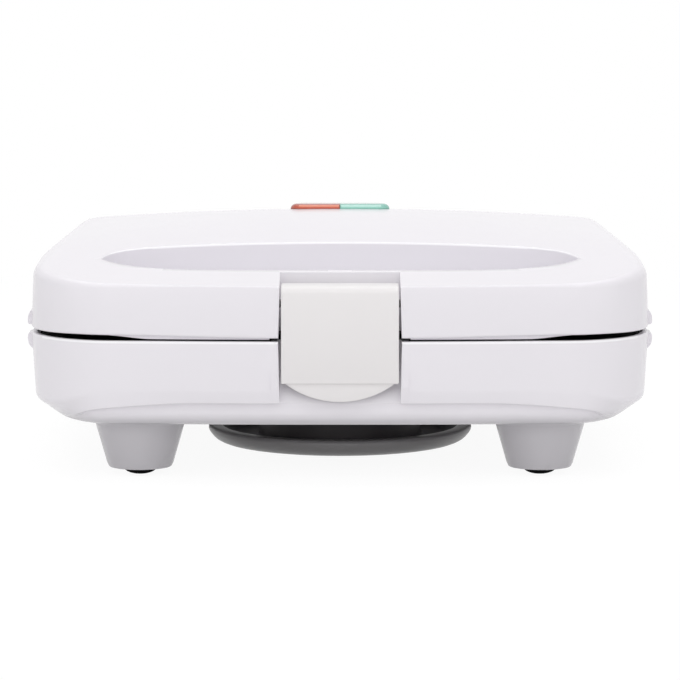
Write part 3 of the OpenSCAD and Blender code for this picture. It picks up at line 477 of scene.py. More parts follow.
def notch_walls():
    """The walls round the notch, which hold the clip's pin."""
    x = notch_half + notch_flare + wall
    y0, y1 = 1.2 - front_middle, notch_back_y + wall
    profile = [(y0, lid_rim_z(0) + 0.5), (y1, lid_rim_z(0) + 0.5), (y1, top_z(0.0, y1) - wall / 2),
               (y0 + 4, top_z(0.0, y0 + 4) - wall / 2), (y0, front_edge_z - 3)]
    return extrude_profile("notch_walls", profile, "x", -x, x)


boolean(lid_housing, recess_tub(), "UNION")
boolean(lid_housing, notch_walls(), "UNION")
boolean(lid_housing, recess_tool())
boolean(lid_housing, notch_tool())

window_w, window_d, window_y = 39.6, 10.0, 29.0
window_gap = 0.15


def pill(w, d):
    """A bar with round ends, anticlockwise."""
    right = np.radians(np.linspace(-90, 90, 17))
    end = w / 2 - d / 2
    ring = np.c_[end + d / 2 * np.cos(right), d / 2 * np.sin(right)]
    return np.concatenate([ring, -ring])


window_z = float(top_z(0.0, window_y))
window_ring = pill(window_w + 2 * window_gap, window_d + 2 * window_gap) + (0, window_y)
boolean(lid_housing, closed_mesh("window_tool", [at_level(window_ring, window_z + z) for z in (-12, 10)]))

lug_y, lug_d = 36 - front_middle, 10


def lug(side, z0, z1):
    """Small grip bump on a housing's flank, full at its low end and run out at the other."""
    bulge = ((-2, 0), (1.7, 0), (2.35, 0.05), (2.6, 0.14), (2.6, 0.42), (2.4, 0.6), (1.9, 0.78), (1.1, 0.92),
             (0.2, 1), (-2, 1))
    at = half_w - 1.2
    profile = [(side * (at + out), mix(z0, z1, t)) for out, t in bulge]
    return extrude_profile("lug", profile, "y", lug_y, lug_y + lug_d)


knuckle_w, ear_w, hinge_x = 14.0, 6.0, 62.0
pin_r = 2.2


def rolled_rod(r, length, roll=0.5, cut=0.15):
    """Profile of a rod whose ends are rolled over."""
    end = [(r - roll, 0), (r - cut, cut), (r, roll)]
    return end + [(x, length - z) for x, z in reversed(end)]


def knuckle(side):
    """The lid's share of one hinge: a barrel on a web."""
    low_z = lid_rim_z(half_w) + 1
    web = [(rear_y, low_z), (hinge_y - 4.4, low_z), (hinge_y, hinge_z), (hinge_y + 4.4, hinge_z + 3.6),
           (hinge_y - 2.6, parting_z + 9.4), (rear_y, rear_edge_z - 2.4)]
    x0 = side * hinge_x - knuckle_w / 2
    barrel = turned("barrel", rolled_rod(hinge_barrel_r - 0.2, knuckle_w), (x0, hinge_y, hinge_z), axis="x")
    return [extrude_profile("web", web, "x", x0 + 0.05, x0 + knuckle_w - 0.05), barrel]


def rim_tongue(side):
    """The thin tongue behind the front rim that closes most of the parting gap from within."""
    low_z = parting_z - 0.05
    from_x, to_x = 24, 88
    section = ((2.0, 5), (2.0, 0.2), (2.05, 0.06), (2.2, 0), (2.5, 0), (2.55, 5))
    stack = [(outline(e), low_z + up) for e, up in section]

    def tapered(z, x):
        """Lifts the tongue's lower edge out of the gap towards its outer end."""
        return z if z > low_z + 1 else z + 1.35 * ease(70, to_x, abs(x))
    across = stack[0][0]
    along = [i for i in range(len(across)) if across[i, 1] < 0 and from_x < side * across[i, 0] < to_x]
    along.sort(key=lambda i: across[i, 0])
    return closed_mesh("rim_tongue", [
        np.array([(*ring[i], tapered(z, ring[i][0])) for ring, z in stack]) for i in along])


lid_parts = [lid_housing]
for side in (1, -1):
    lid_parts.append(lug(side, lid_rim_z(half_w) + 0.8, lid_rim_z(half_w) + 6.8))
    lid_parts.append(rim_tongue(side))
    lid_parts += knuckle(side)
lid_housing = merge("lid_housing", lid_parts)


def object_pattern(tree, kind, **sockets):
    """A texture that is fixed to the piece it is on."""
    place = add_node(tree, "ShaderNodeTexCoord").outputs["Object"]
    return add_node(tree, kind, {"Vector": place, **sockets}).outputs


def blend_colours(tree, share, first, second):
    """The first colour where share is 0 and the second where it is 1."""
    return add_node(tree, "ShaderNodeMixRGB", {0: share, 1: (*first, 1), 2: (*second, 1)}).outputs[0]


def add_bump(tree, shader, height, strength, depth):
    """Lets a pattern roughen the surface, to a depth in metres."""
    bump = add_node(tree, "ShaderNodeBump", {"Height": height, "Strength": strength, "Distance": depth})
    feed(tree, shader, {"Normal": bump.outputs["Normal"]})


def moulded_plastic(name, colour, roughness, grain=0.0, mottle=0.02):
    """Moulded plastic: slightly uneven gloss and tone, and a faint moulded grain."""
    material, tree, shader = new_material(name)
    clouds = object_pattern(tree, "ShaderNodeTexNoise", Scale=18.0, Detail=3.0, Roughness=0.55)["Fac"]
    darker, lighter = ([min(1, c * part) for c in colour] for part in (1 - mottle, 1 + mottle * 0.5))
    feed(tree, shader, {"Base Color": blend_colours(tree, clouds, darker, lighter), "IOR": 1.5,
                        "Roughness": in_range(tree, clouds, roughness * 0.9, roughness * 1.1)})
    if grain:
        speckle = object_pattern(tree, "ShaderNodeTexNoise", Scale=2600.0, Detail=2.0)["Fac"]
        add_bump(tree, shader, speckle, grain, 0.00004)
    return material


def second_finish(piece, material, chosen):
    """Gives a further material to the faces whose middle, in body millimetres, is chosen."""
    piece.data.materials.append(material)
    for polygon in piece.data.polygons:
        x, y, z = (c / MM for c in polygon.center)
        if chosen(x, y - shift_y, z):
            polygon.material_index = len(piece.data.materials) - 1


def shaded_recess_or_tongue(x, y, z):
    """The recess below its lip and the tongue in the parting gap: a real matt texture, and a darker tone that
    is painted shade.
    """
    t = abs(x) * 2 / recess_w
    if t < 1:
        front, rear = recess_reach(t, 0.3)
        if -front < y - recess_y < rear and z < top_z(x, y) - 0.45:
            return True
    return y < 0 and z < lid_rim_z(x) - 0.01


def recess_lip_highlight(x, y, z):
    """The rolled lip of the recess, where a highlight is painted in a lighter tone."""
    t, v = abs(x) * 2 / recess_w, y - recess_y
    if t < 1 and z > top_z(x, y) - 0.8:
        (front_in, rear_in), (front_out, rear_out) = recess_reach(t, -0.25), recess_reach(t, 1.0)
        return -front_out < v < -front_in or rear_in < v < rear_out
    return False


housing_white = (0.845, 0.82, 0.862)
white_plastic = moulded_plastic("white_plastic", housing_white, 0.24, grain=0.12)
# The recess and the tongue in the parting gap take a darker tone as painted shade, over their real matt
# grain.
shaded_textured_plastic = moulded_plastic("shaded_textured_plastic", (0.792, 0.77, 0.815), 0.42, grain=0.3)
finish_piece(lid_housing, white_plastic, "lid", "white_housing", "lid_shell")
second_finish(lid_housing, shaded_textured_plastic, shaded_recess_or_tongue)
# The lighter tone on the recess's rolled lip is a painted highlight.
painted_highlight_edge = moulded_plastic("painted_highlight_edge", (0.95, 0.935, 0.965), 0.2)
second_finish(lid_housing, painted_highlight_edge, recess_lip_highlight)

# ---------------------------------------------------------------- base housing
# The lower housing is the same white plastic: a drawn-in belly behind an arched front apron,
# flat chamfers along the sides, four tapered feet, the clip's pocket, screw posts and hinge ears.
underside_z, crease_z = 21.7, 32.5
base_rim_z = parting_z - 0.6
arch_top_z = crease_z - 1.7
side_crease_z = crease_z - 1.9
belly_e, apron_e = 5.6, 3.2
floor_z = underside_z + wall

rim_ring = outline(0)
side_share = ease(0.78, 0.98, abs(rim_ring[:, 0]) / half_w)


def front_crease_z(x):
    """Height of the crease between the wall and the apron, highest in the middle."""
    return arch_top_z + 4.7 * (1 - (x / half_w) ** 6)


def base_corner(front_e, side_e, front_z, side_z):
    """A corner of the section: its inset and height in front and at the sides, blended round the body."""
    flat = mix(outline(front_e), outline(side_e), side_share[:, None])
    return np.c_[flat, mix(front_z, side_z, side_share)]


def bend(a, corner, b):
    """Points of a curve from a to b that leaves and arrives in the directions of the corner."""
    return [(1 - t) ** 2 * a + 2 * t * (1 - t) * corner + t * t * b for t in np.linspace(0, 1, 7)]


def rounded_stack(corners, radii):
    """Rounds the corners of a section whose corners are whole rings; a radius may differ at the sides."""
    rings = [corners[0]]
    for before, here, after, (front_r, side_r) in zip(corners, corners[1:], corners[2:], radii):
        r = mix(front_r, side_r, side_share[:, None])
        back, on = before - here, after - here
        back_l, on_l = (np.linalg.norm(way, axis=1)[:, None] for way in (back, on))
        a = here + back * np.minimum(r / back_l, 0.48)
        b = here + on * np.minimum(r / on_l, 0.8 if front_r > 4 else 0.48)
        rings += bend(a, here, b)
    rings.append(corners[-1])
    return rings


def floor_ring(shrink, z):
    """A ring on the flat of the underside or of the floor."""
    return at_level(outline(16) * shrink, z)


crease = front_crease_z(rim_ring[:, 0])
apron_fall = 3.3 * np.clip((abs(rim_ring[:, 0]) - 55) / 43, 0, 1.3) ** 1.5
arch = np.where(rim_ring[:, 1] < 0, arch_top_z - apron_fall, underside_z + 2)
base_corners = [
    floor_ring(0.86, underside_z),
    base_corner(belly_e + 0.2, 13.3, underside_z, underside_z),
    base_corner(belly_e, 11.4, arch + 0.1, underside_z + 1.1),
    base_corner(apron_e, 9.6, arch, underside_z + 2.25),
    base_corner(1.8, 1.5, crease, side_crease_z - 1.0),
    base_corner(0, 0, base_rim_z, base_rim_z),
    base_corner(wall, wall, base_rim_z, base_rim_z),
    base_corner(wall + 1.6, wall + 2.4, crease + 2, side_crease_z + 2.4),
    base_corner(belly_e + wall + 1.2, 14, floor_z + 4, floor_z + 1.8),
    base_corner(belly_e + wall + 7, 18.6, floor_z, floor_z),
    floor_ring(0.8, floor_z)]
corner_radii = ((7.5, 3), (0.6, 0.6), (0.4, 0.4), (0.9, 2.0), (0.9, 0.9), (0.5, 0.5), (2, 2), (2, 2), (2, 2))
base_housing = closed_mesh("base_housing", rounded_stack(base_corners, corner_radii))

latch_front_y = -front_middle - 1.2 + lid_draft
latch_t = 3.4
latch_back_y = latch_front_y + latch_t
pocket_back_y = latch_back_y + 6
latch_top_z = front_edge_z + 0.5
latch_bottom_z = latch_top_z - 36.6
belly_front_y = -(front_y - belly_e) * (1 + front_bow / front_y)


def pocket_walls():
    """The walls round the clip's pocket."""
    x = notch_half + notch_flare + wall
    y0, back_y, top = 1.2 - front_middle, pocket_back_y + wall, base_rim_z - 0.4
    profile = [(y0, float(front_crease_z(0)) + 2), (y0 + 2, arch_top_z + 1.2),
               (belly_front_y + wall, arch_top_z - 1), (back_y, latch_bottom_z), (back_y, top), (y0, top)]
    return extrude_profile("pocket_walls", profile, "x", -x, x)


def pocket_tool():
    """The clip's pocket: rolled at its mouth, its back sloping forward to run out on the belly."""
    low_z, high_z, flared = underside_z, parting_z + 5, notch_half + notch_flare

    def section(y, grow):
        right = [(flared - 0.6 + grow, low_z), (flared - 0.3 + grow, 38), (flared + grow, high_z)]
        return both_sides(right, y)
    mouth = 0.25 - front_middle
    across = closed_mesh("pocket_tool", [section(y, grow) for y, grow in (
        (-front_middle - 12, 6.5), (mouth - 0.25, 0.8), (mouth, 0.31), (mouth + 0.2, 0.12),
        (mouth + 0.6, 0.02), (mouth + 1.4, 0), (pocket_back_y + 6, 0))])
    front, low = -front_middle - 20, belly_front_y - 0.03
    corners = np.array([(low, arch_top_z - 2.5), (low, arch_top_z + 0.8),
                        (pocket_back_y, latch_bottom_z + 1), (pocket_back_y, latch_bottom_z + 6)])
    profile = [(front, low_z - 2), (low, low_z - 2), corners[0]]
    for before, here, after in zip(corners, corners[1:], corners[2:]):
        profile += bend(here + (before - here) * 0.45, here, here + (after - here) * 0.45)
    profile += [(pocket_back_y, high_z - 1), (front, high_z - 1)]
    past_sides = 40
    boolean(across, extrude_profile("pocket_back", profile, "x", -past_sides, past_sides), "INTERSECT")
    return across


boolean(base_housing, pocket_walls(), "UNION")
boolean(base_housing, pocket_tool())

foot_x, foot_y = 76.0, 74.0
foot_top_r, foot_bottom_r = 18.2, 12.2
foot_z = 2.7
foot_places = [(sx * foot_x, sy * foot_y) for sx in (1, -1) for sy in (1, -1)]
pad_r, pad_seat = 6.2, 2.4


def foot(x, y):
    """A tapered foot with a rolled bottom edge, the pad's seat and a fillet under the belly."""
    h, r, fillet = underside_z - foot_z, foot_bottom_r, 2.4
    slope = (foot_top_r - foot_bottom_r) / (h + 2)
    profile = [(pad_r + 0.1, pad_seat), (pad_r + 0.1, 0.15), (pad_r + 0.25, 0), (r - 0.9, 0),
               (r - 0.45, 0.08), (r - 0.14, 0.3), (r, 0.7), (r + slope * 1.6, 1.6),
               (r + slope * h * 0.5, h * 0.5)]
    for a in np.radians(np.linspace(0, 90, 9)):
        z = h - fillet * (1 - math.sin(a))
        profile.append((r + slope * z + fillet * (1 - math.cos(a)), z))
    profile.append((profile[-1][0], h + 1))
    return turned("foot", profile, (x, y, foot_z), steps=96)


post_x = 48.0
plate_back, plate_w, plate_d = 21.0, 200.0, 126.0
screw_head_r = 3.0
front_post_y = 40 - front_middle
rear_post_y = plate_back + plate_d / 2 + screw_head_r + 0.6
post_places = [(sx * post_x, y) for sx in (1, -1) for y in (front_post_y, rear_post_y)]
flange_t, plate_gap, deck_t = 1.9, 0.4, 2.0
lower_rim_z = parting_z - plate_gap / 2
base_deck_z = lower_rim_z - flange_t - deck_t
post_joint_z = base_deck_z - 8
post_cap_t, pilot_r = 3, 1.7
gland_z = mix(underside_z, parting_z, 0.55)
gland_r = 6.5
well_r = screw_head_r + 0.4
vent_count, vent_l, vent_w, vent_pitch = 5, 24, 3, 9
vent_y = foot_y - 8

for x, y in post_places:
    boolean(base_housing, turned("well_tool", [
        (well_r + 0.5, underside_z - 1), (well_r + 0.5, underside_z), (well_r, underside_z + 0.5),
        (well_r, floor_z + 1)], (x, y, 0), steps=40))
boolean(base_housing, turned("gland_tool", [(gland_r, rear_middle - 14), (gland_r, rear_middle + 9)],
                             (0, 0, gland_z), axis="y"))
for i in range(vent_count):
    vent_ring = pill(vent_l, vent_w)[:, ::-1] + ((i - vent_count // 2) * vent_pitch, vent_y)
    boolean(base_housing, closed_mesh("vent_tool", [
        at_level(vent_ring, z) for z in (underside_z - 1, floor_z + 1)]))


def post(x, y):
    """A screw post that stands on the base's floor."""
    low, top, cap_z, outer_r = underside_z + 0.6, post_joint_z, post_joint_z - post_cap_t, 4.5
    return turned("post", [
        (well_r, low), (outer_r, low), (outer_r, top), (pilot_r, top), (pilot_r, cap_z), (well_r, cap_z),
        (well_r, low)], (x, y, 0), steps=40)


hinge_gap = 0.2


def ears(side):
    """The base's share of one hinge: an ear on each side of the knuckle, eased round the pin."""
    web = [(rear_y, crease_z + 6), (hinge_y - 3, crease_z + 8), (hinge_y + 5, hinge_z - 3.4),
           (hinge_y, hinge_z), (hinge_y - 3.4, base_rim_z - 1.2), (rear_y, base_rim_z - 1.2)]
    profile = [(pin_r, 0.3), (pin_r + 0.3, 0), *rolled_rod(hinge_barrel_r, ear_w), (pin_r + 0.3, ear_w),
               (pin_r, ear_w - 0.3)]
    made = []
    for offset in (knuckle_w / 2 + hinge_gap, -knuckle_w / 2 - hinge_gap - ear_w):
        x0 = side * hinge_x + offset
        made.append(extrude_profile("ear_web", web, "x", x0 + 0.05, x0 + ear_w - 0.05))
        made.append(turned("ear", profile, (x0, hinge_y, hinge_z), axis="x"))
    return made


base_parts = [base_housing]
base_parts += [lug(side, base_rim_z - 0.8, base_rim_z - 7) for side in (1, -1)]
base_parts += [foot(x, y) for x, y in foot_places]
base_parts += [post(x, y) for x, y in post_places]
for side in (1, -1):
    base_parts += ears(side)
base_housing = merge("base_housing", base_parts)


def paint_shade_near_feet(material, low_z, high_z, least):
    """Paints shade into a plastic's tone: darker down the feet and on the belly round their tops."""
    tree = material.node_tree
    shader = tree.nodes["Principled BSDF"]
    tone = shader.inputs["Base Color"].links[0].from_socket
    place = add_node(tree, "ShaderNodeTexCoord").outputs["Object"]

    def vector(operation, *values):
        return add_node(tree, "ShaderNodeVectorMath", dict(enumerate(values)), operation=operation).outputs
    centred = vector("SUBTRACT", place, (0, shift_y * MM, 0))[0]
    flat = vector("MULTIPLY", vector("ABSOLUTE", centred)[0], (1, 1, 0))[0]
    away = vector("DISTANCE", flat, (foot_x * MM, foot_y * MM, 0))["Value"]
    height = add_node(tree, "ShaderNodeSeparateXYZ", {0: place}).outputs["Z"]
    near = in_range(tree, away, 1.0, 0.8, (24 * MM, 38 * MM), interpolation_type="SMOOTHSTEP")
    low = in_range(tree, height, 1 - least, 0.0, (low_z * MM, high_z * MM), interpolation_type="SMOOTHSTEP")
    kept = worked_out(tree, "SUBTRACT", 1.0, worked_out(tree, "MULTIPLY", near, low))
    scaled = add_node(tree, "ShaderNodeVectorMath", {0: tone, "Scale": kept}, operation="SCALE")
    feed(tree, shader, {"Base Color": scaled.outputs[0]})


def front_rim_highlight(x, y, z):
    """The base's rim at the front, where a highlight is painted in a lighter tone."""
    return y < -70 and abs(x) < half_w - 5 and z > base_rim_z - 0.8


shaded_low_plastic = moulded_plastic("shaded_low_plastic", housing_white, 0.24, grain=0.12)
# The tone that falls off down the feet and round their tops is painted shade.
paint_shade_near_feet(shaded_low_plastic, underside_z - 1, underside_z + 6.5, 0.68)
finish_piece(base_housing, shaded_low_plastic, "root", "white_housing", "base_shell")
# The lighter tone along the base's front rim is a painted highlight.
second_finish(base_housing, painted_highlight_edge, front_rim_highlight)

# ---------------------------------------------------------------- clip
# The clip is one moulding in a warmer, satin white. It hangs on a pin through its barrel at the top,
# and its thin arched lip below the face is what the finger pulls.
lip_h = 7.0
latch_pin_y, latch_pin_z = latch_front_y + 10, latch_top_z - 7.5


def latch_section():
    """Side view of the face, with its rolled top and the barrel round the pin."""
    def arc(cy, cz, r, a0, a1):
        a = np.radians(np.linspace(a0, a1, 10))
        return list(zip(cy + r * np.cos(a), cz + r * np.sin(a)))
    y0, yb = latch_front_y, latch_back_y
    return ([(y0 + 0.6, latch_bottom_z), (y0 + 0.18, latch_bottom_z + 0.15), (y0, latch_bottom_z + 0.5)]
            + arc(y0 + 3, latch_top_z - 3, 3, 180, 90) + arc(latch_pin_y + 1, latch_top_z - 3, 3, 90, 0)
            + arc(latch_pin_y, latch_pin_z, 4, 0, -100)
            + [(yb + 1.2, latch_pin_z - 4.6), (yb, latch_pin_z - 7), (yb, latch_bottom_z)])


def along_width(half, edge, middle):
    """Places from end to end of a moulding, each with how far its section is drawn in there."""
    left = [(at - half, draw) for at, draw in edge]
    return left + [(x, 0) for x in middle] + [(-x, draw) for x, draw in reversed(left)]


def latch_plate():
    """The face and barrel, with a small radius along both side edges."""
    section = np.array(latch_section())
    inward = section.mean(0) - section
    inward /= np.linalg.norm(inward, axis=1)[:, None]
    half = latch_w / 2
    edge = ((0, 0.5), (0.07, 0.25), (0.25, 0.07), (0.5, 0))
    return closed_mesh("latch_plate", [np.c_[np.full(len(section), x), section + inward * draw]
                                       for x, draw in along_width(half, edge, (-half / 2, 0, half / 2))])


def latch_lip():
    """The grip lip: a thin blade under the face whose lower edge is a shallow arch."""
    half, root_z = latch_w / 2 - 1.3, latch_bottom_z
    r = (half * half + lip_h * lip_h) / (2 * lip_h)
    xs = half * np.sin(np.linspace(-math.pi / 2, math.pi / 2, 41))
    rings = []
    for x, low in zip(xs, root_z - lip_h + r - np.sqrt(r * r - xs * xs)):
        blade = [(1.4, root_z + 1.5), (1.4, root_z), (1.55, low + 0.5), (1.75, low + 0.12), (2.2, low),
                 (2.75, low + 0.12), (3.1, low + 0.5), (latch_t + 0.4, root_z), (latch_t - 0.1, root_z + 1.5)]
        rings.append(np.array([(x, latch_front_y + y, z) for y, z in blade]))
    return closed_mesh("latch_lip", rings)


catch_reach, hook_gap, hook_half_w = 3.2, 0.3, 12
catch_z = latch_bottom_z + 7
hook_tip_y = pocket_back_y - catch_reach - hook_gap
hook = extrude_profile("hook", [
    (latch_back_y - 0.5, catch_z - 1.6), (hook_tip_y, catch_z - 0.8), (hook_tip_y, catch_z + 0.6),
    (latch_back_y - 0.5, catch_z + 2.4)], "x", -hook_half_w, hook_half_w)
latch_clip = merge("latch_clip", [latch_plate(), latch_lip(), hook])
warm_plastic = moulded_plastic("warm_plastic", (0.835, 0.812, 0.815), 0.3, grain=0.15)
finish_piece(latch_clip, warm_plastic, "latch", "latch_plastic", "latch")

# ---------------------------------------------------------------- catch
# The nose that the clip snaps over is part of the base's white moulding. It stands out from the
# back wall of the pocket, where the clip's hook rib comes to lie in front of it.
catch_half_w = 13.0


def catch_nose():
    """A wedge on the pocket's back wall with a rolled tip and drawn-in ends."""
    back, tip = pocket_back_y, pocket_back_y - catch_reach
    section = np.array([(back, -3), (back, 3.4), (tip + 0.9, 1.75), (tip + 0.5, 1.4), (tip + 0.15, 0.9),
                        (tip, 0.4), (tip, -0.5), (tip + 0.15, -0.85), (tip + 0.5, -1.2)]) + (0, catch_z)
    rings = []
    for x, draw in along_width(catch_half_w, ((0, 0.45), (0.1, 0.2), (0.4, 0)), (0,)):
        drawn = section.copy()
        drawn[2:, 0] += draw
        drawn[:, 1] += np.where(section[:, 1] > catch_z, -draw, draw)
        rings.append(np.c_[np.full(len(drawn), x), drawn])
    return closed_mesh("catch_nose", rings)


catch_piece = catch_nose()
finish_piece(catch_piece, white_plastic, "root", "white_housing", "catch")

# ---------------------------------------------------------------- lamp window
# Two tinted plastic lenses share one pill-shaped opening in the crest, red on the left and green
# on the right. A black holder below them carries the two lamps.
lens_proud = 2.0
lens_top_z = window_z + lens_proud


def half_pill(side, inset):
    """Half of the window's outline, drawn in by inset."""
    a = np.radians(np.linspace(-90, 90, 25))
    end = window_w / 2 - window_d / 2
    r = window_d / 2 - inset
    ring = np.c_[end + r * np.cos(a), r * np.sin(a)]
    joint = [(0.45, r), (0, r), (0, 0), (0, -r), (0.45, -r)]
    return np.concatenate([ring, joint]) * (side, 1) + (0, window_y)


def lens(side, name):
    """One half of the window, with straight walls and a rolled upper edge."""
    edge_in, edge_down = 2.4, 2.0
    rings = [(0, window_z - wall - 3.9), (0, lens_top_z - edge_down)]
    for a in np.radians(np.linspace(15, 90, 8)):
        rings.append((edge_in * (1 - math.cos(a)), lens_top_z - edge_down * (1 - math.sin(a))))
    rings += [(3.2, lens_top_z), (4, lens_top_z)]
    return closed_mesh(name, [at_level(half_pill(side, inset), z) for inset, z in rings])


def tinted_lens(name, colour, deep):
    """Tinted plastic: bright where it faces the eye, deeper in colour where it turns away."""
    material, tree, shader = new_material(name)
    facing = add_node(tree, "ShaderNodeLayerWeight", {"Blend": 0.5}).outputs["Facing"]
    feed(tree, shader, {"Base Color": blend_colours(tree, facing, colour, deep), "Roughness": 0.12,
                        "Transmission Weight": 0.06, "Coat Weight": 0.4})
    ribs = object_pattern(tree, "ShaderNodeTexWave", Scale=420.0, Distortion=0.0)["Fac"]
    add_bump(tree, shader, ribs, 0.12, 0.0001)
    return material


def lens_edges(x, y, z):
    """The lens's rear edge and the joint between the halves, where the colour is seen deeper."""
    return abs(x) < 0.5 or (y > window_y + 1.9 and z > lens_top_z - 1.2) or z < window_z + 0.3


def lens_glint(x, y, z):
    """The lit line half way up the lens's rolled front edge."""
    return 1.5 < abs(x) < window_w / 2 - 3.5 and y < window_y and -0.75 < z - lens_top_z < -0.36


for colour, side, tint, deep, edge, glint in (
        ("red", -1, (0.62, 0.095, 0.04), (0.34, 0.04, 0.016), (0.30, 0.045, 0.022), (0.82, 0.29, 0.19)),
        ("green", 1, (0.32, 0.66, 0.56), (0.14, 0.46, 0.37), (0.17, 0.42, 0.34), (0.52, 0.80, 0.72))):
    window = lens(side, colour + "_window")
    finish_piece(window, tinted_lens(colour + "_tint", tint, deep), "lid", colour + "_lens", colour + "_lens")
    second_finish(window, moulded_plastic(colour + "_edge", edge, 0.2), lens_edges)
    second_finish(window, moulded_plastic(colour + "_glint", glint, 0.15), lens_glint)


def repaint(material, *nodes):
    """Gives CAD pieces whose form is right their finish."""
    for node in nodes:
        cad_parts[node].data.materials.clear()
        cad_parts[node].data.materials.append(material)


black_plastic = moulded_plastic("black_plastic", (0.016, 0.016, 0.018), 0.5, grain=0.5, mottle=0.2)
repaint(black_plastic, "lamp_holder", "base_liner", "lid_liner")
lamp_glass = moulded_plastic("lamp_glass", (0.82, 0.72, 0.6), 0.08)
lamp_glass.node_tree.nodes["Principled BSDF"].inputs["Transmission Weight"].default_value = 0.7
repaint(lamp_glass, "lamps")

# ---------------------------------------------------------------- cord bowl
# The supply cord winds round a hollow core on the underside; a dished grey flange keeps it in.
# One screw in the core's middle holds it to the base.
bowl_r, bowl_core_r, bowl_h, bowl_z = 51.6, 31.0, 6.7, 4.2
bowl_y = -15.0
bowl_top_t, bowl_wall = 2.4, 2.6


def bowl_profile():
    """Section of the spool: up inside the core, over the dish and its rim, and back underneath."""
    r, c, z, top = bowl_r, bowl_core_r, bowl_z, underside_z
    rim, well, web = z + bowl_h, c - bowl_wall, top - bowl_top_t
    inside = [(pilot_r, top), (c - 2, top), (c - 1.2, top - 0.2), (c - 0.4, top - 0.9), (c, top - 2),
              (c + 0.5, z + 4.2), (c + 0.9, z + 3.1), (c + 1.5, z + 2.5), (c + 2.4, z + 2.4),
              (r - 10.5, z + 2.4), (r - 9, z + 2.6), (r - 7.6, z + 3.3), (r - 6.7, z + 4.3),
              (r - 6, rim - 1.1), (r - 5.7, rim - 0.5), (r - 5.3, rim - 0.12), (r - 4.8, rim)]
    outside = [(r - 1.1, rim), (r - 0.7, rim - 0.1), (r - 0.3, rim - 0.4), (r - 0.05, rim - 0.9),
               (r, rim - 1.5), (r - 0.2, rim - 2.2), (r - 0.7, rim - 3), (r - 1.8, z + 2.4),
               (r - 2.7, z + 1.6), (r - 3.9, z + 0.9), (r - 5.2, z + 0.4), (r - 6.6, z + 0.1), (r - 8, z),
               (c + 4, z), (well + 1.6, z), (well + 0.6, z + 0.3), (well, z + 1.3), (well - 1.1, web - 0.8),
               (well - 2, web), (5, web), (4.6, web - 0.6), (3.4, web - 0.6), (pilot_r, web)]
    return inside + outside


def turned_ring(name, profile, place, steps=180, axis="z"):
    """Turns a section that closes on itself into a ring, with no poles."""
    n = len(profile)
    points = np.concatenate([swung_ring(r, h, axis, steps) + place for r, h in profile])
    faces = []
    for j in range(n):
        here, after = j * steps, (j + 1) % n * steps
        for i in range(steps):
            k = (i + 1) % steps
            faces.append((here + i, here + k, after + k, after + i))
    return mesh_piece(name, points, faces)


cord_spool = turned_ring("cord_spool", bowl_profile(), (0, bowl_y, 0))
grey_plastic = moulded_plastic("grey_plastic", (0.19, 0.184, 0.187), 0.36, grain=0.3, mottle=0.06)
# The darker grey inside the cord groove is painted shade.
shaded_grey = moulded_plastic("shaded_grey", (0.04, 0.036, 0.039), 0.55, grain=0.3, mottle=0.1)
finish_piece(cord_spool, grey_plastic, "root", "grey_bowl", "cord_bowl", smooth=40)


def cord_groove_shade(x, y, z):
    """The core's wall and the dish, where the cord lies; their darker grey is painted shade."""
    return z > bowl_z + 2.3 and bowl_core_r - 1.5 < math.hypot(x, y - bowl_y) < bowl_r - 5.2


second_finish(cord_spool, shaded_grey, cord_groove_shade)

# ---------------------------------------------------------------- rubber pads
# Four soft black pads are pressed into the feet and stand below them, with a rounded lower edge.
# One node tree makes the pad and sets it on a point for each foot.
pad_sizes = {"Radius": pad_r * MM, "Height": (foot_z + pad_seat) * MM, "Dome": 2.2 * MM}


def instance_tree(name, material, sizes, build):
    """A node tree that sets one built shape on every point of its mesh, as real geometry."""
    tree = bpy.data.node_groups.new(name, "GeometryNodeTree")
    for way in ("INPUT", "OUTPUT"):
        tree.interface.new_socket("Geometry", in_out=way, socket_type="NodeSocketGeometry")
    for size, value in sizes.items():
        tree.interface.new_socket(size, in_out="INPUT", socket_type="NodeSocketFloat").default_value = value
    source = tree.nodes.new("NodeGroupInput").outputs
    place = add_node(tree, "GeometryNodeInstanceOnPoints", {
        "Points": source["Geometry"], "Instance": build(tree, *(source[size] for size in sizes))})
    real = add_node(tree, "GeometryNodeRealizeInstances", {0: place.outputs[0]})
    paint = add_node(tree, "GeometryNodeSetMaterial", {0: real.outputs[0], "Material": material})
    add_node(tree, "NodeGroupOutput", {0: paint.outputs[0]})
    return tree


def run_tree(name, points, tree, sizes):
    """Runs a node tree over body points in millimetres and keeps the result as a plain mesh."""
    seeds = bpy.data.meshes.new(name)
    seeds.from_pydata([(x * MM, (y + shift_y) * MM, z * MM) for x, y, z in points], [], [])
    piece = bpy.data.objects.new(name, seeds)
    scene.collection.objects.link(piece)
    grown = piece.modifiers.new("grown", "NODES")
    grown.node_group = tree
    for item in tree.interface.items_tree:
        if item.in_out == "INPUT" and item.name in sizes:
            grown[item.identifier] = sizes[item.name]
    evaluated = piece.evaluated_get(bpy.context.evaluated_depsgraph_get())
    mesh = bpy.data.meshes.new_from_object(evaluated)
    piece.modifiers.remove(grown)
    piece.data = mesh
    return piece


def vector_of(tree, **parts):
    """A vector from its X, Y and Z."""
    return add_node(tree, "ShaderNodeCombineXYZ", parts).outputs[0]


def transformed(tree, geometry, **change):
    """A geometry after a Scale, a Rotation or a Translation."""
    return add_node(tree, "GeometryNodeTransform", {"Geometry": geometry, **change}).outputs[0]


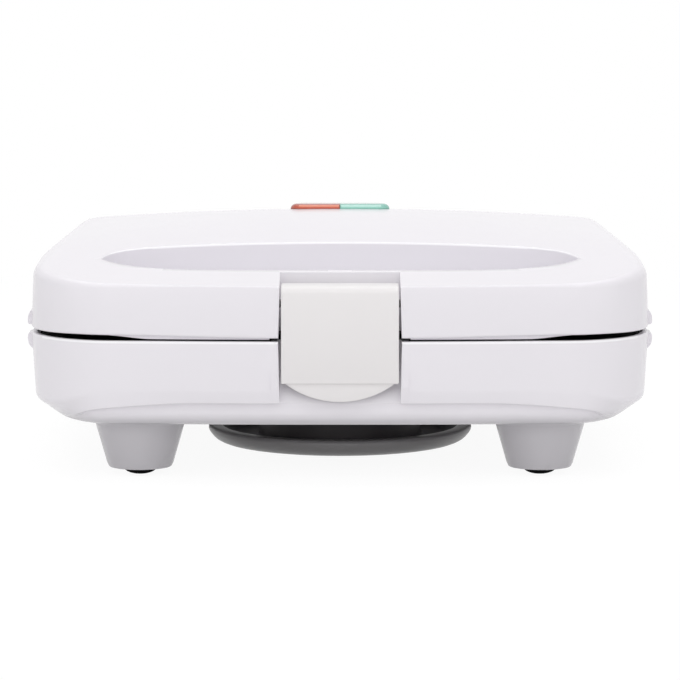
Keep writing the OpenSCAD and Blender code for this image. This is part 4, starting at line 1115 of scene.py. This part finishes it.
def disc(tree, radius, depth, low, vertices):
    """A cylinder that stands on the level low."""
    body = add_node(tree, "GeometryNodeMeshCylinder", {
        "Vertices": vertices, "Radius": radius, "Depth": depth})
    centre = worked_out(tree, "MULTIPLY_ADD", depth, 0.5, low)
    return transformed(tree, body.outputs["Mesh"], Translation=vector_of(tree, Z=centre))


def joined(tree, *geometries):
    """Puts several geometries together."""
    join = tree.nodes.new("GeometryNodeJoinGeometry")
    for geometry in geometries:
        tree.links.new(geometry, join.inputs[0])
    return join.outputs[0]


def pad_shape(tree, radius, height, dome):
    """A short cylinder that ends below in a flattened dome, level where it stands."""
    ball = add_node(tree, "GeometryNodeMeshUVSphere", {"Segments": 64, "Rings": 40, "Radius": 1.0})
    squash = vector_of(tree, X=radius, Y=radius, Z=worked_out(tree, "MULTIPLY", dome, 1.12))
    bulge = transformed(tree, ball.outputs["Mesh"], Scale=squash, Translation=vector_of(tree, Z=dome))
    place = add_node(tree, "GeometryNodeInputPosition").outputs[0]
    at = add_node(tree, "ShaderNodeSeparateXYZ", {0: place}).outputs
    above_floor = vector_of(tree, X=at["X"], Y=at["Y"], Z=worked_out(tree, "MAXIMUM", at["Z"], 0.0))
    level = add_node(tree, "GeometryNodeSetPosition", {"Geometry": bulge, "Position": above_floor})
    stem = disc(tree, radius, worked_out(tree, "SUBTRACT", height, dome), dome, 64)
    return joined(tree, level.outputs[0], stem)


rubber = moulded_plastic("pad_rubber", (0.003, 0.003, 0.0035), 0.9, grain=0.6, mottle=0.15)
rubber.node_tree.nodes["Principled BSDF"].inputs["Specular IOR Level"].default_value = 0.04
pad_tree = instance_tree("rubber_pad", rubber, pad_sizes, pad_shape)
rubber_pads = run_tree("rubber_pads", [(x, y, 0) for x, y in foot_places], pad_tree, pad_sizes)
finish_piece(rubber_pads, rubber, "root", "pad_rubber", "foot_pads")

# ---------------------------------------------------------------- cooking plates
# Each plate is an aluminium casting with two pairs of triangular pockets, coated black. The broad
# ridge between a pair cuts and seals the sandwich; the thin rim lies on the liner.
pocket_depth, plate_web, rim_overlap = 10.5, 2.2, 3.0


def rounded_rectangle(w, d, r, drop):
    """A rectangle with round corners, drawn in by drop."""
    x, y, r = w / 2 - drop, d / 2 - drop, r - drop
    corners = ((x - r, r - y, -90), (x - r, y - r, 0), (r - x, y - r, 90), (r - x, r - y, 180))
    return np.concatenate([corner_arc(cx, cy, r, a, 10) for cx, cy, a in corners])


def triangle_ring(corners, inset, r, z):
    """A rounded triangle drawn in by inset, from its sharp corners."""
    t = np.array(corners, float)
    a, b, c = (np.linalg.norm(t[i] - t[j]) for i, j in ((1, 2), (2, 0), (0, 1)))
    middle = (a * t[0] + b * t[1] + c * t[2]) / (a + b + c)
    u1, u2 = t[1] - t[0], t[2] - t[0]
    inradius = abs(u1[0] * u2[1] - u1[1] * u2[0]) / (a + b + c)
    k = 1 - (inset + r) / inradius
    points = []
    for i in range(3):
        centre = middle + (t[i] - middle) * k
        came, goes = t[i] - t[i - 1], t[(i + 1) % 3] - t[i]
        start = math.atan2(came[1], came[0]) - math.pi / 2
        sweep = (math.atan2(goes[1], goes[0]) - math.pi / 2 - start) % (2 * math.pi)
        for turn in np.linspace(0, 1, 9) * sweep + start:
            points.append((centre[0] + r * math.cos(turn), centre[1] + r * math.sin(turn), z))
    return np.array(points)


def cooking_plate(name, rim_z, up):
    """One plate; up is 1 when the pockets open upwards and -1 when they open downwards."""
    inner_w, inner_d = plate_w - 2 * rim_overlap, plate_d - 2 * rim_overlap
    under = -pocket_depth - plate_web - 1
    body, brim = (inner_w, inner_d, 12), (plate_w, plate_d, 15)
    rows = ((body, 2.0, under), (body, 0.6, under + 0.5), (body, 0, under + 2), (body, 0, -flange_t),
            (brim, 0.2, -flange_t), (brim, 0, 0.25 - flange_t), (brim, 0, -0.6), (brim, 0.18, -0.18),
            (brim, 0.6, 0))
    plate = closed_mesh(name, [at_level(rounded_rectangle(*size, drop) + (0, plate_back), rim_z + up * z)
                               for size, drop, z in rows])
    pocket_wall = ((14, 3, 0.05 - pocket_depth), (9, 5, -pocket_depth), (6.6, 5.4, 0.25 - pocket_depth),
                   (5, 6, 0.9 - pocket_depth), (3.5, 6, 2.0 - pocket_depth), (2.4, 6, 3.6 - pocket_depth),
                   (0.9, 6, -2.4), (0.45, 6, -0.8), (0.2, 6, -0.3), (-0.3, 6.3, 0), (-0.6, 6.6, 1))
    x0, x1, y, ridge = 2.5, inner_w / 2 - 5, inner_d / 2 - 5, 5
    pair = (((x0 + ridge, -y), (x1, -y), (x1, y - ridge)), ((x0, ridge - y), (x1 - ridge, y), (x0, y)))
    for side in (1, -1):
        for corners in pair:
            if side < 0:
                corners = [(-px, py) for px, py in reversed(corners)]
            cut = [triangle_ring(corners, inset, r, z) for inset, r, z in pocket_wall]
            shaped = [ring * (1, 1, up) + (0, plate_back, rim_z) for ring in cut]
            boolean(plate, closed_mesh("pocket", shaped))
    return plate


def coated_metal(name):
    """Black non-stick coating: satin, with fine pale flecks in it and a faint orange peel."""
    material, tree, shader = new_material(name)
    flecks = object_pattern(tree, "ShaderNodeTexVoronoi", Scale=900.0)["Distance"]
    fleck_size = in_range(tree, flecks, 0.0, 1.0, (0.16, 0.08))
    tone = blend_colours(tree, fleck_size, (0.021, 0.021, 0.023), (0.16, 0.16, 0.16))
    feed(tree, shader, {"Base Color": tone, "Roughness": 0.34})
    peel = object_pattern(tree, "ShaderNodeTexNoise", Scale=700.0, Detail=2.0)["Fac"]
    add_bump(tree, shader, peel, 0.18, 0.00008)
    return material


non_stick = coated_metal("non_stick")
lower_grill = cooking_plate("lower_grill", lower_rim_z, 1)
finish_piece(lower_grill, non_stick, "root", "coated_plate", "lower_plate")
upper_grill = cooking_plate("upper_grill", parting_z + plate_gap / 2, -1)
finish_piece(upper_grill, non_stick, "lid", "coated_plate", "upper_plate")

# ---------------------------------------------------------------- fastenings
# Zinc-plated cross-head screws cut their own thread in the posts; the pins are plain ground rod.
# The lid turns on two pins at the rear and the clip on one in its notch.
head_h, shank_r = 1.6, 1.5
screw_sizes = {"Head Radius": screw_head_r * MM, "Head Height": head_h * MM, "Shank Radius": shank_r * MM,
               "Length": 8 * MM, "Tilt": 0.0}


def plated_metal(name, colour, tint, roughness, scale=60.0):
    """Bare or plated metal whose tone and polish wander a little."""
    material, tree, shader = new_material(name)
    clouds = object_pattern(tree, "ShaderNodeTexNoise", Scale=scale, Detail=5.0, Roughness=0.6)["Fac"]
    scratches = object_pattern(tree, "ShaderNodeTexNoise", Scale=1400.0, Detail=2.0)["Fac"]
    wander = in_range(tree, clouds, 0.0, 1.0, (0.35, 0.65))
    feed(tree, shader, {"Base Color": blend_colours(tree, wander, colour, tint), "Metallic": 1.0,
                        "Roughness": in_range(tree, scratches, roughness * 0.75, roughness * 1.25)})
    add_bump(tree, shader, scratches, 0.15, 0.00004)
    return material


def screw_shape(tree, head_radius, head_height, shank_radius, length, tilt):
    """Head with a rounded top and a cross recess, and a shank with a raised spiral thread."""
    def share(size, part):
        return worked_out(tree, "MULTIPLY", size, part)
    cone = add_node(tree, "GeometryNodeMeshCone", {
        "Vertices": 40, "Radius Top": share(head_radius, 1.0), "Radius Bottom": share(head_radius, 0.72),
        "Depth": share(head_height, 0.5)})
    sunk = vector_of(tree, Z=share(head_height, -1.0))
    crossed = add_node(tree, "GeometryNodeMeshBoolean", {
        "Mesh 1": transformed(tree, cone.outputs["Mesh"], Translation=sunk)}, operation="DIFFERENCE")
    for size in ((3.4, 0.62, 1.1), (0.62, 3.4, 1.1)):
        bar = add_node(tree, "GeometryNodeMeshCube", {"Size": [v * MM for v in size]})
        tree.links.new(transformed(tree, bar.outputs["Mesh"], Translation=sunk), crossed.inputs["Mesh 2"])
    rim = disc(tree, head_radius, share(head_height, 0.5), share(head_height, -0.5), 40)
    shank = disc(tree, share(shank_radius, 0.8), length, 0.0, 24)
    helix_r = share(shank_radius, 0.87)
    helix = add_node(tree, "GeometryNodeCurveSpiral", {
        "Resolution": 20, "Rotations": 6.0, "Start Radius": helix_r, "End Radius": helix_r,
        "Height": share(length, 0.86)})
    ridge = add_node(tree, "GeometryNodeCurvePrimitiveCircle", {"Resolution": 6, "Radius": 0.19 * MM})
    swept = add_node(tree, "GeometryNodeCurveToMesh", {
        "Curve": helix.outputs["Curve"], "Profile Curve": ridge.outputs["Curve"], "Fill Caps": True})
    thread = transformed(tree, swept.outputs[0], Translation=(0, 0, 0.5 * MM))
    whole = joined(tree, crossed.outputs[0], rim, shank, thread)
    return transformed(tree, whole, Rotation=vector_of(tree, X=tilt))


zinc = plated_metal("zinc_plate", (0.62, 0.62, 0.6), (0.5, 0.5, 0.5), 0.3)
screw_tree = instance_tree("cross_head_screw", zinc, screw_sizes, screw_shape)
strap_end_x, lid_post_y = 103.6, -40.0
strap_places = [(sx * strap_end_x, plate_back) for sx in (1, -1)]
lid_post_places = [(sx * strap_end_x, lid_post_y) for sx in (1, -1)]
lid_post_places += [(sx * post_x, rear_post_y) for sx in (1, -1)]
lower_strap_z, lid_post_z, upper_strap_z = 32.6, 57.2, 77.6


def screws(name, places, z, grip, tilt=0.0):
    """Like screws, with their heads bearing at one height; a tilt of half a turn points them down."""
    return run_tree(name, [(x, y, z) for x, y in places], screw_tree, {"Length": grip * MM, "Tilt": tilt})


base_fixings = merge("base_fixings", [
    screws("post_screws", post_places, post_joint_z - post_cap_t, grip=10.5),
    screws("strap_screws", strap_places, lower_strap_z, grip=8),
    screws("bowl_screw", [(0, bowl_y)], underside_z - bowl_top_t, grip=7.6)])
finish_piece(base_fixings, zinc, "root", "screw_steel", "base_screws")
lid_fixings = merge("lid_fixings", [
    screws("lid_post_screws", lid_post_places, lid_post_z, grip=9.5),
    screws("lid_strap_screws", strap_places, upper_strap_z, grip=8, tilt=math.pi)])
finish_piece(lid_fixings, zinc, "lid", "screw_steel", "lid_screws")


def pin(name, x, half, y, z, r):
    """A pin lying along x, with rolled ends."""
    return turned(name, rolled_rod(r, 2 * half, 0.45, 0.12), (x - half, y, z), steps=48, axis="x")


ground_steel = plated_metal("ground_steel", (0.56, 0.55, 0.54), (0.47, 0.46, 0.45), 0.2, scale=240.0)
pin_half = knuckle_w / 2 + hinge_gap + ear_w
hinge_rods = merge("hinge_rods", [
    pin("hinge_rod", side * hinge_x, pin_half, hinge_y, hinge_z, pin_r) for side in (1, -1)])
finish_piece(hinge_rods, ground_steel, "root", "screw_steel", "hinge_pins")
clip_pin_box, clip_pin_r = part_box("latch_pin"), 1.5
clip_pin_half = (clip_pin_box[1][0] - clip_pin_box[0][0]) / 2 / MM
clip_rod = pin("clip_rod", 0, clip_pin_half, latch_pin_y, latch_pin_z, clip_pin_r)
finish_piece(clip_rod, ground_steel, "lid", "screw_steel", "latch_pin")

# ---------------------------------------------------------------- cord gland
# A dark rubber bush is pushed into the rear wall, where the supply cord enters. Its flange seats on
# the wall and the ribs of its short tail keep the cord from kinking.
gland_profile = [
    (3.6, -4.2), (4.0, -4.6), (gland_r - 0.5, -4.6), (gland_r - 0.15, -4.2), (gland_r - 0.15, 0.02),
    (gland_r + 1.6, 0.02), (gland_r + 1.9, 0.15), (gland_r + 2, 0.5), (gland_r + 2, 1.4),
    (gland_r + 1.8, 1.8), (gland_r + 1.4, 2)]
rib_count, rib_pitch, rib_taper = 3, 1.6, 0.32
rib = ((-0.75, 0), (-0.75, 0.5), (-0.15, 0.65), (-0.05, 0.9), (-0.15, 1.25), (-0.75, 1.4))
for i in range(rib_count):
    at, r = 2.15 + i * rib_pitch, gland_r - 0.35 - rib_taper * i
    gland_profile += [(r + out, at + along) for out, along in rib]
gland_profile += [(5.2, 6.9), (4.9, 7.0), (3.9, 7.0), (3.6, 6.7)]
cord_bush = turned_ring("cord_bush", gland_profile, (0, rear_middle, gland_z), steps=96, axis="y")
gland_rubber = moulded_plastic("gland_rubber", (0.022, 0.022, 0.024), 0.55, grain=0.5, mottle=0.2)
finish_piece(cord_bush, gland_rubber, "root", "gland_rubber", "cord_gland")

# ---------------------------------------------------------------- heating
# Sheathed tubular heaters lie against the plates inside spangled sheet trays, each held by a strap.
# The thermostat and the fuse touch the lower plate, and the terminal block joins them to the cord.
heated_steel = plated_metal("heated_steel", (0.30, 0.27, 0.25), (0.20, 0.19, 0.24), 0.42, scale=90.0)
repaint(heated_steel, "lower_element", "upper_element")


def spangled_sheet():
    """Galvanised sheet: flat crystals that differ a little in tone and in polish."""
    material, tree, shader = new_material("spangled_sheet")
    crystals = object_pattern(tree, "ShaderNodeTexVoronoi", Scale=130.0)["Color"]
    chance = add_node(tree, "ShaderNodeSeparateColor", {0: crystals}).outputs
    feed(tree, shader, {"Base Color": blend_colours(tree, chance[0], (0.55, 0.56, 0.57), (0.70, 0.71, 0.72)),
                        "Roughness": in_range(tree, chance[1], 0.24, 0.42), "Metallic": 1.0})
    return material


repaint(spangled_sheet(), "lower_reflector", "upper_reflector", "lower_strap", "upper_strap")
sensor_metal = plated_metal("sensor_metal", (0.66, 0.64, 0.6), (0.55, 0.54, 0.52), 0.28, scale=120.0)
repaint(sensor_metal, "thermostat", "thermal_fuse")
cream_plastic = moulded_plastic("cream_plastic", (0.78, 0.74, 0.64), 0.4, grain=0.2, mottle=0.05)
repaint(cream_plastic, "terminal_block")
